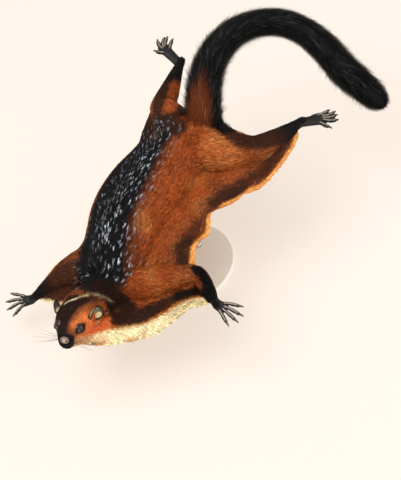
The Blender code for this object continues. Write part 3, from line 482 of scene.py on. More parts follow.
def mesh_object(name, points, *face_groups):
    """A smooth mesh object from points and arrays of faces."""
    corners = np.concatenate([faces.ravel() for faces in face_groups])
    sizes = np.concatenate([np.full(len(faces), faces.shape[1]) for faces in face_groups])
    starts = np.concatenate([[0], np.cumsum(sizes)[:-1]])
    mesh = bpy.data.meshes.new(name)
    mesh.vertices.add(len(points))
    mesh.vertices.foreach_set("co", np.asarray(points, np.float32).ravel())
    mesh.loops.add(len(corners))
    mesh.loops.foreach_set("vertex_index", corners.astype(np.int32))
    mesh.polygons.add(len(sizes))
    mesh.polygons.foreach_set("loop_start", starts.astype(np.int32))
    mesh.update(calc_edges=True)
    mesh.shade_smooth()
    obj = bpy.data.objects.new(name, mesh)
    bpy.context.scene.collection.objects.link(obj)
    return obj


def grid_faces(rows, columns, closed=True):
    """The quads of a grid of points; closed joins the last column to the first."""
    index = np.arange(rows * columns).reshape(rows, columns)
    after = np.roll(index, -1, axis=1)
    quads = np.stack([index[:-1], after[:-1], after[1:], index[1:]], axis=-1)
    return quads.reshape(-1, 4) if closed else quads[:, :-1].reshape(-1, 4)


def loft_parts(rings):
    """Points, quads and end triangles of a closed surface through rings."""
    rings = np.array(rings)
    count, sides = rings.shape[:2]
    points = np.vstack([rings.reshape(-1, 3), rings[0].mean(0), rings[-1].mean(0)])
    first = np.arange(sides)
    last = first + (count - 1) * sides
    start_cap = np.stack([np.roll(first, -1), first, np.full(sides, count * sides)], axis=-1)
    end_cap = np.stack([last, np.roll(last, -1), np.full(sides, count * sides + 1)], axis=-1)
    return points, grid_faces(count, sides), np.vstack([start_cap, end_cap])


def joined(name, parts):
    """One object from several sets of points, quads and triangles."""
    points, quads, triangles = [], [], []
    offset = 0
    for some, four, three in parts:
        points.append(some)
        quads.append(four + offset)
        triangles.append(three + offset)
        offset += len(some)
    return mesh_object(name, np.vstack(points), np.vstack(quads), np.vstack(triangles))


def tube_parts(path, radii, sides=16, flat=1.0, closed_ends=True):
    path = np.array(path, float)
    radii = np.broadcast_to(radii, len(path))
    forward, left, up = frames(path)
    rings = [oval(p, l, u, r, r * flat, r * flat, sides) for p, l, u, r in zip(path, left, up, radii)]
    if closed_ends:
        for end, inward in ((0, -1), (-1, 1)):
            for reach, scale in ((0.5, 0.86), (0.86, 0.5)):
                radius = radii[end] * scale
                centre = path[end] + forward[end] * inward * reach * radii[end]
                ring = oval(centre, left[end], up[end], radius, radius * flat, radius * flat, sides)
                rings.insert(0 if end == 0 else len(rings), ring)
    return loft_parts(rings)


def coordinates(mesh):
    flat = np.empty(len(mesh.vertices) * 3, np.float32)
    mesh.vertices.foreach_get("co", flat)
    return flat.reshape(-1, 3).astype(float)


def move_points(mesh, points):
    mesh.vertices.foreach_set("co", points.astype(np.float32).ravel())
    mesh.update()


def normals_of(mesh):
    flat = np.empty(len(mesh.vertices) * 3, np.float32)
    mesh.vertex_normals.foreach_get("vector", flat)
    return flat.reshape(-1, 3).astype(float)


def edges_of(mesh):
    flat = np.empty(len(mesh.edges) * 2, np.int32)
    mesh.edges.foreach_get("vertices", flat)
    return flat.reshape(-1, 2)


def neighbour_mean(values, edges):
    """The mean of each vertex's neighbours."""
    count = len(values)
    degree = np.bincount(edges.ravel(), minlength=count)
    mean = np.empty_like(values)
    for k in range(values.shape[1]):
        total = np.bincount(edges[:, 0], values[edges[:, 1], k], count)
        total += np.bincount(edges[:, 1], values[edges[:, 0], k], count)
        mean[:, k] = total / np.maximum(degree, 1)
    return mean


def smoothed(values, edges, times, factor=0.5):
    for _ in range(times):
        values = values + (neighbour_mean(values, edges) - values) * factor
    return values


def remeshed(obj, voxel):
    """Applies a voxel remesh, which fuses all that overlaps."""
    remesh = obj.modifiers.new("Remesh", "REMESH")
    remesh.mode = "VOXEL"
    remesh.voxel_size = voxel
    mesh = bpy.data.meshes.new_from_object(obj.evaluated_get(bpy.context.evaluated_depsgraph_get()))
    obj.modifiers.clear()
    obj.data = mesh
    mesh.shade_smooth()
    return obj


def thicken(obj, thickness, offset):
    solid = obj.modifiers.new("Solidify", "SOLIDIFY")
    solid.thickness = thickness
    solid.offset = offset


def set_colours(mesh, colours, name="coat"):
    values = np.ones((len(colours), 4), np.float32)
    values[:, :3] = colours
    mesh.color_attributes.new(name, "FLOAT_COLOR", "POINT").data.foreach_set("color", values.ravel())


# The animal's form, finer than its solids and inside them


def trunk_path(count):
    rows = smooth_through([(*centre, *sizes) for centre, *sizes in TRUNK], count)
    return rows[:, :3] + MIDDLE, rows[:, 3], rows[:, 4], rows[:, 5], rows[:, 6]


def limb_path(name, count):
    rows = smooth_through([(*centre, radius) for centre, radius in LIMBS[name]], count)
    return rows[:, :3] + MIDDLE, rows[:, 3]


def trunk_parts():
    path, widths, rises, depths, banks = trunk_path(80)
    _, left, up = frames(path, banks)
    sizes = [size - TRUNK_DEPTH for size in (widths, rises, depths)]
    return loft_parts([oval(*ring, 48, 2.15) for ring in zip(path, left, up, *sizes)])


def limb_parts(name):
    path, radii = limb_path(name, 40)
    onward = unit(path[-1] - path[-2]) * radii[-1]
    path = np.vstack([path, path[-1] + onward])
    return tube_parts(path, np.append(radii, radii[-1]) - LIMB_DEPTH, 24)


def thigh_web_parts(side):
    """The skin between the root of the tail and the leg."""
    knee = np.array(LIMBS["hindleg_" + side][3][0]) + MIDDLE
    shank = np.array(LIMBS["hindleg_" + side][4][0]) + MIDDLE
    root = np.array(TRUNK[1][0]) + MIDDLE
    outward = unit(knee - root)
    over_knee = knee * 0.7 + shank * 0.3 - outward * 0.006 - (0, 0.004, 0)
    path = [root + outward * 0.018, (root + knee) / 2, over_knee, shank]
    radii = smooth_line(THIGH_WEB_RADII, 20) - LIMB_DEPTH
    return tube_parts(smooth_through(path, 20), radii, 20, 0.6)


def patch(front, rear, inner, outer, columns):
    """A grid of points between four edges; front and rear run from inner to outer."""
    rows = len(inner)
    along = np.linspace(0, 1, rows)[:, None, None]
    across = np.array(columns)[None, :, None]
    front = smooth_through(front, 101)[(np.array(columns) * 100).astype(int)]
    rear = smooth_through(rear, 101)[(np.array(columns) * 100).astype(int)]
    corners = (1 - along) * ((1 - across) * front[0] + across * front[-1])
    corners = corners + along * ((1 - across) * rear[0] + across * rear[-1])
    sides = (1 - across) * inner[:, None] + across * outer[:, None]
    return sides + (1 - along) * front + along * rear - corners


def sheet_normals(grid):
    return unit(np.cross(np.gradient(grid, axis=0), np.gradient(grid, axis=1)))


def sheet_parts(grid, half_thickness):
    """A solid sheet about a grid of points."""
    offset = sheet_normals(grid) * np.broadcast_to(half_thickness, grid.shape[:2])[..., None]
    return loft_parts([np.vstack([p + d, (p - d)[::-1]]) for p, d in zip(grid, offset)])


def membrane_grid(side, rows=90, columns=41):
    """The middle surface of the gliding membrane, from its root on the flank to its free edge."""
    sign = 1 if side == "left" else -1
    arm = np.array([centre for centre, _ in LIMBS["foreleg_" + side]]) + MIDDLE
    arm = arm[:4] if side == "left" else arm
    leg = np.array([centre for centre, _ in LIMBS["hindleg_" + side]]) + MIDDLE
    outer = smooth_through(FREE_EDGES[side], rows) + MIDDLE
    inset = EDGE_INSET[side] * np.sin(np.linspace(0, math.pi, rows)) ** 0.5
    outer[:, 0] -= sign * inset
    path, widths, _, depths, banks = trunk_path(60)
    _, left, up = frames(path, banks)
    flank = path + left * (sign * 0.5 * widths)[:, None] - up * (0.15 * depths)[:, None]
    nearest_arm = int(np.argmin(lengths(flank - arm[0])))
    nearest_leg = int(np.argmin(lengths(flank - leg[0])))
    inner = smooth_through([arm[0], *flank[nearest_arm - 4:nearest_leg + 3:-5], leg[0]], rows)
    across = np.linspace(0, 1, columns)
    grid = patch([*arm[:-1], outer[0]], [*leg[:-1], outer[-1]], inner, outer, across)
    swell = np.sin(np.linspace(0, math.pi, rows))[:, None] * np.sin(across * math.pi)
    grid[..., 2] += BILLOW[side] * swell
    return grid


def neck_web_grid(side, rows=50, columns=24):
    """The middle surface of the membrane before the foreleg."""
    arm = smooth_through([centre for centre, _ in LIMBS["foreleg_" + side]], 12)[:-1]
    arm[:, 2] -= NECK_WEB_DROP * np.linspace(1, 0, 11)
    arm = smooth_through(arm, rows) + MIDDLE
    outer = smooth_through(smooth_through(NECK_EDGES[side], 11), rows) + MIDDLE
    across = np.linspace(0, 1, columns)[None, :, None]
    return (1 - across) * arm[:, None] + across * outer[:, None]


def neck_web_half(side, rows=50, columns=24):
    """Half the thickness of the neck web, which swells to a roll of throat fur before its edge."""
    across = np.linspace(0, 1, columns)
    half = np.interp(across, *ROLL_SECTION) * ROLL[side] / 2
    return np.maximum(half * np.linspace(1, 0.42, rows)[:, None] - 0.0014, 0.0011)


def head_frame():
    forward = unit(HEAD_FORWARD)
    left = unit(np.cross(HEAD_UP, forward))
    return forward, left, np.cross(forward, left)


def head_axis(distance):
    """The middle of the head at a distance forward of its centre; the muzzle bends a little to the left."""
    forward, left, _ = head_frame()
    bend = MUZZLE_BEND * max(distance / HEAD_STATIONS[-1][0], 0.0) ** 2
    return MIDDLE + HEAD_CENTRE + forward * distance + left * bend


def from_head(points):
    """How far points are from the head's centre."""
    return lengths(points - MIDDLE - HEAD_CENTRE)


def head_point(distance, angle, out=0.0):
    """A point of the head's solid: distance forward of its centre, angle up from its left side."""
    _, left, up = head_frame()
    stations = np.array(HEAD_STATIONS)
    width, rise, depth = (np.interp(distance, stations[:, 0], stations[:, k]) for k in (1, 2, 3))
    turn = math.radians(angle)
    across = math.copysign(abs(math.cos(turn)) ** 0.87, math.cos(turn))
    high = math.copysign(abs(math.sin(turn)) ** 0.87, math.sin(turn))
    offset = left * across * width + up * high * (rise if high > 0 else depth)
    return head_axis(distance) + offset * (1 + out / np.linalg.norm(offset))


def head_normal(distance, angle):
    step = 0.002
    ahead = head_point(distance + step, angle) - head_point(distance - step, angle)
    around = head_point(distance, angle + 6) - head_point(distance, angle - 6)
    normal = unit(np.cross(ahead, around))
    return normal if normal @ (head_point(distance, angle) - head_axis(distance)) > 0 else -normal


def head_parts():
    rows = smooth_through(HEAD_STATIONS, 60)
    _, left, up = head_frame()
    rings = [oval(head_axis(row[0]), left, up, *(row[1:] - HEAD_DEPTH), 64, 2.3) for row in rows]
    last, w, r, d = rows[-1]
    rings.append(oval(head_axis(last + 0.0006) - up * 0.0030, left, up, w * 0.6, r * 0.6, d * 0.4, 64, 2.2))
    return loft_parts(rings)


def eye_place(side):
    """The eye's centre and the way it looks."""
    distance, angle = EYE_AT
    angle = angle if side == "left" else 180 - angle
    outward = head_normal(distance, angle)
    return head_point(distance, angle) - outward * EYE_SUNK, outward


def head_places(points):
    """Distance forward of the head's centre and angle up from its left side, in degrees."""
    forward, left, up = head_frame()
    offset = points - MIDDLE - HEAD_CENTRE
    distance = offset @ forward
    bend = MUZZLE_BEND * np.maximum(distance / HEAD_STATIONS[-1][0], 0.0) ** 2
    return distance, np.degrees(np.arctan2(offset @ up, offset @ left - bend))


def skin_mesh():
    """The whole skin as one surface, with a finer head."""
    webs = [sheet_parts(membrane_grid(side), MEMBRANE_HALF) for side in SIDES]
    webs += [sheet_parts(neck_web_grid(side), neck_web_half(side)) for side in SIDES]
    limbs = [limb_parts(name) for name in LIMBS] + [thigh_web_parts(side) for side in SIDES]
    skin = remeshed(joined("skin", [trunk_parts(), head_parts(), *limbs, *webs]), SKIN_VOXEL)
    built = bmesh.new()
    built.from_mesh(skin.data)
    forward, _, _ = head_frame()
    centre = MIDDLE + HEAD_CENTRE
    fine = set()
    for face in built.faces:
        offset = np.array(face.calc_center_median()) - centre
        if offset @ forward > FACE_REAR and np.linalg.norm(offset) < HEAD_REACH:
            fine.update(face.edges)
    bmesh.ops.subdivide_edges(built, edges=list(fine), cuts=1, use_grid_fill=True)
    built.to_mesh(skin.data)
    built.free()
    points = coordinates(skin.data)
    edges = edges_of(skin.data)
    distance, _ = head_places(points)
    on_head = lengths(points - centre) < HEAD_REACH
    edge_away = np.minimum(*[from_line(points, FREE_EDGES[side], 200)[0] for side in SIDES])
    factor = 0.5 * np.where(on_head, 1 - 0.8 * ramp(distance, -0.026, -0.008), 1.0)
    factor *= 0.25 + 0.75 * ramp(edge_away, 0.003, 0.008)
    points = smoothed(points, edges, SMOOTHINGS, factor[:, None])
    move_points(skin.data, sculpted(points, normals_of(skin.data)))
    return skin


def sculpted(points, normals):
    """Moves the skin at the eyes' sockets, the brows and the mouth."""
    moved = points.copy()
    for side in SIDES:
        centre, outward = eye_place(side)
        offset = points - centre
        height = offset @ outward
        away = lengths(offset - height[:, None] * outward)
        ring = np.exp(-(((away - BROW_RADIUS) / BROW_SPREAD) ** 2)) * (height > 0)
        moved += normals * (BROW_HEIGHT * ring)[:, None]
    _, away = nearest(points, mouth_line(61))
    moved -= normals * (MOUTH_DEPTH * np.exp(-((away / MOUTH_SPREAD) ** 2)))[:, None]
    moved += normals * (LIP_HEIGHT * np.exp(-(((away - LIP_AWAY) / MOUTH_SPREAD) ** 2)))[:, None]
    return moved


def mouth_line(count):
    """Points from the left corner of the mouth round the muzzle to the right one."""
    left = [head_point(u, a, -HEAD_DEPTH) for u, a in MOUTH]
    right = [head_point(u, 180 - a, -HEAD_DEPTH) for u, a in MOUTH[::-1]]
    return smooth_through(left + right, count)


# Where each point of the skin lies on the body


class Axis:
    """A bent part with an oval section, read by how far along and around it a point lies."""

    def __init__(self, path, sizes, banks=0.0):
        self.path = path
        self.forward, self.left, self.up = frames(path, banks)
        self.width, self.rise, self.depth = sizes

    def read(self, points):
        index, _ = nearest(points, self.path)
        offset = points - self.path[index]
        across = (offset * self.left[index]).sum(1)
        high = (offset * self.up[index]).sum(1)
        past = (offset * self.forward[index]).sum(1)
        past = np.where(index == 0, past, 0.0)
        height = np.where(high > 0, self.rise[index], self.depth[index])
        size = np.hypot(across / self.width[index], high / height)
        away = (size - 1) * np.minimum(self.width[index], height) + abs(past)
        angle = np.degrees(np.arctan2(high / height, across / self.width[index]))
        along = index / (len(self.path) - 1)
        return {"along": along, "angle": angle, "away": away, "flow": self.forward[index]}


class Sheet:
    """A thin part, read by its rows and columns and by which face a point is on."""

    def __init__(self, grid, half):
        self.rows, self.columns = grid.shape[:2]
        self.points = grid.reshape(-1, 3)
        normals = sheet_normals(grid)
        self.normals = (normals * np.sign(normals[..., 2:3])).reshape(-1, 3)
        self.half = np.broadcast_to(half, grid.shape[:2]).ravel()
        along = unit(np.gradient(grid, axis=0)).reshape(-1, 3)
        across = unit(np.gradient(grid, axis=1)).reshape(-1, 3)
        self.flow = unit(along + 0.55 * across)

    def read(self, points):
        index, away = nearest(points, self.points)
        high = ((points - self.points[index]) * self.normals[index]).sum(1)
        return {
            "along": index // self.columns / (self.rows - 1),
            "column": index % self.columns / (self.columns - 1),
            "top": high > 0,
            "away": away - self.half[index],
            "flow": self.flow[index],
        }


def body_parts():
    path, widths, rises, depths, banks = trunk_path(160)
    sizes = [size - TRUNK_DEPTH for size in (widths, rises, depths)]
    parts = {"trunk": Axis(path, sizes, banks)}
    for name in LIMBS:
        path, radii = limb_path(name, 80)
        parts[name] = Axis(path, [radii - LIMB_DEPTH] * 3)
    rows = smooth_through(HEAD_STATIONS, 80)
    path = np.array([head_axis(u) for u in rows[:, 0]])
    parts["head"] = Axis(path, [rows[:, k] - HEAD_DEPTH for k in (1, 2, 3)])
    for side in SIDES:
        parts["patagium_" + side] = Sheet(membrane_grid(side), MEMBRANE_HALF)
        parts["neck_web_" + side] = Sheet(neck_web_grid(side), neck_web_half(side))
    return parts


def flow_field(places, points, normals, edges):
    """The way the coat lies at each point of the skin, always along the skin."""
    total = np.zeros_like(points)
    for name, place in places.items():
        weight = np.exp(-((np.maximum(place["away"], 0) / 0.004) ** 2))
        sign = -1.0 if name in ("trunk", "head") else 1.0
        total += place["flow"] * (sign * weight)[:, None]
    total = smoothed(total, edges, 10)
    total -= normals * (total * normals).sum(1)[:, None]
    return unit(total)


def under_side(normals):
    """1 where the skin faces down."""
    return ramp(-normals[:, 2], 0.25, 0.60)


def mottling(points, scale):
    return np.array([noise.noise(Vector(point) * scale) for point in points.tolist()])


def body_colours(points, normals, places):
    """The coat's markings at each point of the skin."""
    under = under_side(normals)
    broad, fine = mottling(points, 38), mottling(points, 120)
    colours = RUSSET * np.exp(0.34 * broad + 0.22 * fine)[:, None]
    colours = mixed(colours, OCHRE * 0.6, np.clip(broad * 0.9, 0, 0.35))
    leg_along = np.zeros(len(points))
    for name in LIMBS:
        on_leg = fade(places[name]["away"], *ON_LEG)
        leg_along = np.maximum(leg_along, places[name]["along"] * on_leg)
    colours = mixed(colours, BROWN, ramp(leg_along, 0.35, 0.6) * 0.7)
    on_right = fade(places["foreleg_right"]["away"], 0.002, 0.010)
    colours = mixed(colours, SHADE * 1.2, on_right * 0.85)
    colours = marked(colours, points, LIGHT_MARKS, LIGHT_RUSSET)
    colours = mixed(colours, BLACK, ramp(leg_along, 0.66, 0.86))
    for side in SIDES:
        web = places["patagium_" + side]
        on_web = fade(web["away"], *ON_WEB)
        edge, _ = from_line(points, FREE_EDGES[side], 200)
        tone = {"left": BROWN, "right": DARK_BROWN}[side]
        colours = mixed(colours, tone, on_web * ramp(web["column"], 0.25, 0.6) * 0.6)
        colours = mixed(colours, SHADE, on_web * ramp(edge, 0.004, 0.009) * fade(edge, 0.010, 0.028) * 0.45)
    # Dark fur and painted shade in creases and folds, along their lines
    colours = marked(colours, points, DARK_FUR_AND_SHADE_MARKS, SHADE)
    colours = mixed(colours, BAND, dorsal_band(points, places))
    line = smooth_through(THIGH_BORDER, 60) + MIDDLE
    index, border = nearest(points, line)
    rear = ramp((points - line[index])[:, 1], -0.006, 0.002)
    colours = mixed(colours, SHADE, fade(border - 0.008 * rear, 0.005, 0.014) * 0.92)
    colours = marked(colours, points, [(SHANK_PATCH, 0.005, 0.010, 0.9)], RUSSET * 1.1)
    # Black fur, and painted shade in the crease of the left foreleg and its neck web
    colours = marked(colours, points, BLACK_FUR_AND_SHADE_MARKS, BLACK)
    colours = marked(colours, points, [(NAPE, 0.006, 0.014, 0.95)], SHADE * 0.6)
    nape_side, part = from_line(points, NAPE_SIDE)
    colours = mixed(colours, SHADE, fade(nape_side, 0.007, 0.016) * (0.9 - 0.3 * part))
    colours = marked(colours, points, [(FORELEG_RED, 0.002, 0.006, 0.8)], RUSSET * 0.6)
    colours = mixed(colours, BUFF, under)
    for side in SIDES:
        edge, _ = from_line(points, FREE_EDGES[side], 200)
        edge -= EDGE_INSET[side]
        wide, strong = RIM_WIDTHS[side]
        colours = mixed(colours, RIM, fade(edge, wide, wide + 0.0020) * strong)
    for side, wide in THROAT_WIDTHS.items():
        web = places["neck_web_" + side]
        on_web = fade(web["away"], *ON_WEB)
        edge, _ = from_line(points, NECK_EDGES[side], 200)
        reach = wide * (1 - 0.5 * ramp(web["along"], 0.6, 1.0))
        cream = fade(edge / reach, 0.80, 1.05)
        below = 1.0 * ~web["top"]
        colours = mixed(colours, OCHRE, on_web * np.maximum(fade(edge / reach, 0.95, 1.25), below) * 0.8)
        colours = mixed(colours, CREAM, on_web * np.maximum(cream, below))
        clouds = np.clip(1.3 * fine + 1.5 * broad, 0, 1)
        colours = mixed(colours, OCHRE * 0.8, on_web * cream * clouds * 0.8)
    colours = mixed(colours, BLACK, ramp(leg_along, 0.80, 0.90))
    return head_colours(colours, points)


def marked(colours, points, marks, target):
    """Colours with soft marks along lines."""
    for line, full, end, strength in marks:
        away, _ = from_line(points, line)
        colours = mixed(colours, target, fade(away, full, end) * strength)
    return colours


def dorsal_band(points, places):
    """The dark band of the back, between its left and right limits."""
    inside = np.ones(len(points))
    for limit, sign, first, last in BAND_LIMITS:
        line = smooth_through(limit, 80) + MIDDLE
        index, _ = nearest(points, line)
        beside = sign * (points - line[index])[:, 0]
        inside *= fade(beside, first, last)
    behind = points[:, 1] - MIDDLE[1]
    inside *= fade(behind, *(BAND_REAR + limit for limit in BAND_SOFTNESS))
    carriers = ("trunk", "patagium_right", "foreleg_right", "hindleg_right")
    on_body = np.min([places[name]["away"] for name in carriers], axis=0)
    inside *= fade(on_body, 0.003, 0.008)
    head = from_head(points)
    return inside * ramp(head, 0.044, 0.049)


def head_colours(colours, points):
    """The markings of the head and throat."""
    distance, angle = head_places(points)
    near = from_head(points)
    on_head = fade(near, 0.044, 0.052)
    on_head *= ramp(distance, -0.036, -0.029)
    colours = mixed(colours, ORANGE, on_head)
    folded = np.where(angle < -90, -180 - angle, np.where(angle > 90, 180 - angle, angle))
    limit = -56 + 26 * ramp(-distance, -0.012, 0.006)
    lower = fade(folded - limit, -10, 10)
    colours = mixed(colours, CREAM, on_head * lower)
    cheek, _ = from_line(points, CHEEK)
    colours = mixed(colours, CREAM, on_head * fade(cheek, 0.004, 0.010) * 0.85)
    jaw = on_head * fade(folded, -74, -52) * ramp(distance, -0.020, -0.005)
    colours = mixed(colours, GREEN_GREY, jaw * 0.8)
    front = on_head * ramp(distance, 0.016, 0.026) * ramp(folded, -5, 15)
    colours = mixed(colours, DARK_BROWN * 1.3, front * 0.8)
    across = np.where(angle < -90, angle + 360, angle)
    crown = np.array(CROWN_EDGE)
    past = across - np.interp(distance, crown[:, 0], crown[:, 1])
    soft = -34 - 26 * ramp(-distance, -0.004, 0.012)
    shaded = ramp(past, soft, -6) * fade(past, 90, 120)
    colours = mixed(colours, DARK_BROWN, on_head * shaded * 0.72)
    tuft = lengths(points - head_point(*EAR_TUFT))
    colours = mixed(colours, BLACK, fade(tuft, 0.0022, 0.0042))
    colours = mixed(colours, SHADE * 0.7, on_head * ramp(past, -12, 8) * fade(past, 72, 100))
    streak, _ = from_line(points, RED_STREAK)
    wash, _ = from_line(points, RED_WASH)
    flush = np.maximum(fade(streak, 0.0006, 0.0026) * 0.8, fade(wash, 0.002, 0.010) * 0.4)
    colours = mixed(colours, RED, flush)
    chin, part = from_line(points, CHIN)
    fading = fade(part, 0.35, 1.0)
    colours = mixed(colours, BUFF, fade(chin, 0.003, 0.010) * 0.5 * fading)
    speckle = np.clip(0.55 + 1.2 * mottling(points, 260), 0, 1)
    colours = mixed(colours, GREEN_GREY * 0.4, fade(chin, 0.000, 0.006) * speckle * fading)
    ring = np.exp(-(((near - 0.047) / 0.007) ** 2)) * ramp(past, -24, 0) * fade(past, 110, 140)
    colours = mixed(colours, SHADE, ring * ramp(distance, -0.042, -0.036) * 0.9)
    rim, part = from_line(points, CROWN_RIM)
    colours = mixed(colours, CREAM, fade(rim, 0.0006, 0.0024) * 0.75 * (1 - 0.9 * ramp(part, 0.6, 1.0)))
    muzzle = on_head * ramp(distance, 0.0260, 0.0310)
    colours = mixed(colours, BLACK, muzzle)
    for side in SIDES:
        centre, outward = eye_place(side)
        offset = points - centre
        forward, _, _ = head_frame()
        along = unit(forward - outward * (forward @ outward))
        level = offset @ along
        height = offset @ np.cross(outward, along)
        away = np.hypot(level * 0.72, height * 1.45)
        colours = mixed(colours, BLACK, fade(away, 0.0064, 0.0078) * (offset @ outward > 0))
    return colours


# Materials


def shader_of(name, roughness, **constants):
    """A material and its Principled shader, with constant values set on the shader's own sockets."""
    made = bpy.data.materials.new(name)
    made.use_nodes = True
    shader = made.node_tree.nodes["Principled BSDF"]
    shader.inputs["Roughness"].default_value = roughness
    for socket, value in constants.items():
        shader.inputs[socket.replace("_", " ")].default_value = value
    return made, made.node_tree, shader


def grain_of(tree, scale, detail=2.0, of_object=False):
    """The value of a fine noise, in the object's own coordinates or in Blender's generated ones."""
    grain = tree.nodes.new("ShaderNodeTexNoise")
    grain.inputs["Scale"].default_value = scale
    grain.inputs["Detail"].default_value = detail
    if of_object:
        place = tree.nodes.new("ShaderNodeTexCoord")
        tree.links.new(place.outputs["Object"], grain.inputs["Vector"])
    return grain.outputs["Fac"]


def spread_of(tree, value, low, high):
    """A value from 0 to 1 spread between two numbers."""
    spread = tree.nodes.new("ShaderNodeMapRange")
    spread.inputs["To Min"].default_value = low
    spread.inputs["To Max"].default_value = high
    tree.links.new(value, spread.inputs["Value"])
    return spread.outputs["Result"]


def clouded(tree, shader, value, dark, light):
    """Gives a shader a base colour that a value moves between two colours."""
    colours = tree.nodes.new("ShaderNodeValToRGB")
    for element, colour in zip(colours.color_ramp.elements, (dark, light)):
        element.color = (*colour, 1)
    tree.links.new(value, colours.inputs["Fac"])
    tree.links.new(colours.outputs["Color"], shader.inputs["Base Color"])


def coat_material(name, roughness=0.62, bump=0.35, scale=700.0, specular=0.12):
    """The painted colour of skin or hair, broken up by fine noise, with a hairy bump."""
    made, tree, shader = shader_of(name, roughness, Specular_IOR_Level=specular)
    paint = tree.nodes.new("ShaderNodeAttribute")
    paint.attribute_name = "coat"
    grain = grain_of(tree, scale, 3.0, of_object=True)
    tint = tree.nodes.new("ShaderNodeMix")
    tint.data_type = "RGBA"
    tint.blend_type = "MULTIPLY"
    tint.inputs["Factor"].default_value = 1.0
    lift = tree.nodes.new("ShaderNodeBump")
    lift.inputs["Strength"].default_value = bump
    lift.inputs["Distance"].default_value = 0.0006
    link = tree.links.new
    link(paint.outputs["Color"], tint.inputs["A"])
    link(spread_of(tree, grain, 0.72, 1.28), tint.inputs["B"])
    link(tint.outputs["Result"], shader.inputs["Base Color"])
    link(grain, lift.inputs["Height"])
    link(lift.outputs["Normal"], shader.inputs["Normal"])
    return made


def dress(obj, material):
    """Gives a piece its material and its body."""
    obj.data.materials.clear()
    obj.data.materials.append(material)
    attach(obj, "root")


# The coat


def triangles_of(mesh):
    mesh.calc_loop_triangles()
    flat = np.empty(len(mesh.loop_triangles) * 3, np.int32)
    mesh.loop_triangles.foreach_get("vertices", flat)
    return flat.reshape(-1, 3)


# A tuft's sections along it, and their widths; the last is its tip
HAIR_SECTIONS = (0.0, 0.42, 0.76, 1.0)
HAIR_WIDTHS = (0.85, 1.0, 0.68)
HAIR_OUTLINE = ((-1, -1), (1, -1), (-1, -0.2), (1, -0.2), (-0.7, 0.5), (0.7, 0.5), (0, 1))
ROOT_SUNK = 0.0003
PATCH = 0.0015
UV_MARGIN = 0.02


def strips(name, centres, halves, tones, places, outline):
    """Flat painted strips that end in a point, each with its own patch on the unwrapped skin.

    Centres, halves and tones hold every strip's middle, half width and colour at its sections, and places
    its patch's place; outline is the patch's shape.
    """
    pairs = len(halves)
    sides = [side for centre, half in zip(centres, halves) for side in (centre - half, centre + half)]
    points = np.stack([*sides, centres[-1]], axis=1)
    paint = np.repeat(np.stack(tones, axis=1), [2] * pairs + [1], axis=1)
    starts = range(0, 2 * pairs - 2, 2)
    pattern = [(a + b, a + c, a + d) for a in starts for b, c, d in ((0, 1, 3), (0, 3, 2))]
    pattern.append((2 * pairs - 2, 2 * pairs - 1, 2 * pairs))
    steps = points.shape[1] * np.arange(len(points))
    faces = (np.array(pattern) + steps[:, None, None]).reshape(-1, 3)
    obj = mesh_object(name, points.reshape(-1, 3), faces)
    set_colours(obj.data, paint.reshape(-1, 3))
    flat = (places[:, None] + np.array(outline) * PATCH).reshape(-1, 2)
    unwrap = obj.data.uv_layers.new(name="OFBake")
    unwrap.data.foreach_set("uv", flat[faces.ravel()].astype(np.float32).ravel())
    return obj


def tuft_object(name, roots, normals, flows, sizes, tones, places):
    """Thin tapered tufts that leave the skin at their roots and lie back along it.

    Sizes are each tuft's length, width and lift; tones are the colours of its root, middle and tip, and
    places its root's place on the unwrapped skin.
    """
    length, width, lift = sizes
    side = np.cross(normals, flows)
    roll = RNG.uniform(-0.6, 0.6, len(roots))[:, None]
    side = unit(side * np.cos(roll) + normals * np.sin(roll))
    centres = []
    for part in HAIR_SECTIONS:
        rise = lift * length * (part - 0.42 * part**2) - ROOT_SUNK * (part == 0)
        centres.append(roots + flows * (part * length)[:, None] + normals * rise[:, None])
    halves = [side * (0.5 * width * share)[:, None] for share in HAIR_WIDTHS]
    root, middle, tip = tones
    return strips(name, centres, halves, (root, middle, 0.4 * middle + 0.6 * tip, tip), places, HAIR_OUTLINE)


def spread_out(share):
    """A share from 0 to 1 as a place on the unwrapped skin, inside its margin."""
    return UV_MARGIN + (1 - 2 * UV_MARGIN) * share


def unwrapped(place):
    """Where points lie on the unwrapped skin of their part of the body."""
    if "column" in place:
        across = UV_MARGIN + 0.46 * place["column"] + 0.5 * ~place["top"]
    else:
        across = spread_out((place["angle"] + 180) / 360)
    return np.stack([spread_out(place["along"]), across], axis=-1)


# Length, width and lift of a tuft, and how the legs and the membrane change them
COAT = (0.0070, 0.00075, 0.42)
LEG_SHORTER, LEG_THINNER = 0.0036, 0.00022
WEB_SHORTER, WEB_FLATTER = 0.0012, 0.20


def coat_lengths(points, places):
    """Length, width and lift of the coat at each point of the skin."""
    length, width, lift = (np.full(len(points), value) for value in COAT)
    for name in LIMBS:
        on_leg = fade(places[name]["away"], *ON_LEG)
        thin = on_leg * ramp(places[name]["along"], 0.3, 1.0)
        length -= LEG_SHORTER * thin
        width -= LEG_THINNER * thin
    for side in SIDES:
        on_web = fade(places["patagium_" + side]["away"], *ON_WEB)
        lift -= WEB_FLATTER * on_web
        length -= WEB_SHORTER * on_web
    distance, _ = head_places(points)
    tuft = lengths(points - head_point(*EAR_TUFT))
    face = fade(from_head(points), 0.042, 0.052) * ramp(distance, -0.036, -0.018) * ramp(tuft, 0.001, 0.004)
    length += (0.0040 - 0.0024 * ramp(distance, -0.005, 0.030) - length) * face
    width += (0.00052 - 0.00014 * ramp(distance, 0.0, 0.030) - width) * face
    lift += (0.30 - lift) * face
    border, _ = from_line(points, THIGH_BORDER)
    length += 0.004 * fade(border, 0.004, 0.012)
    edge, _ = from_line(points, FORELEG_CREST)
    length += 0.0035 * fade(edge, 0.003, 0.009)
    lift += 0.25 * fade(edge, 0.003, 0.009)
    return length, width, lift


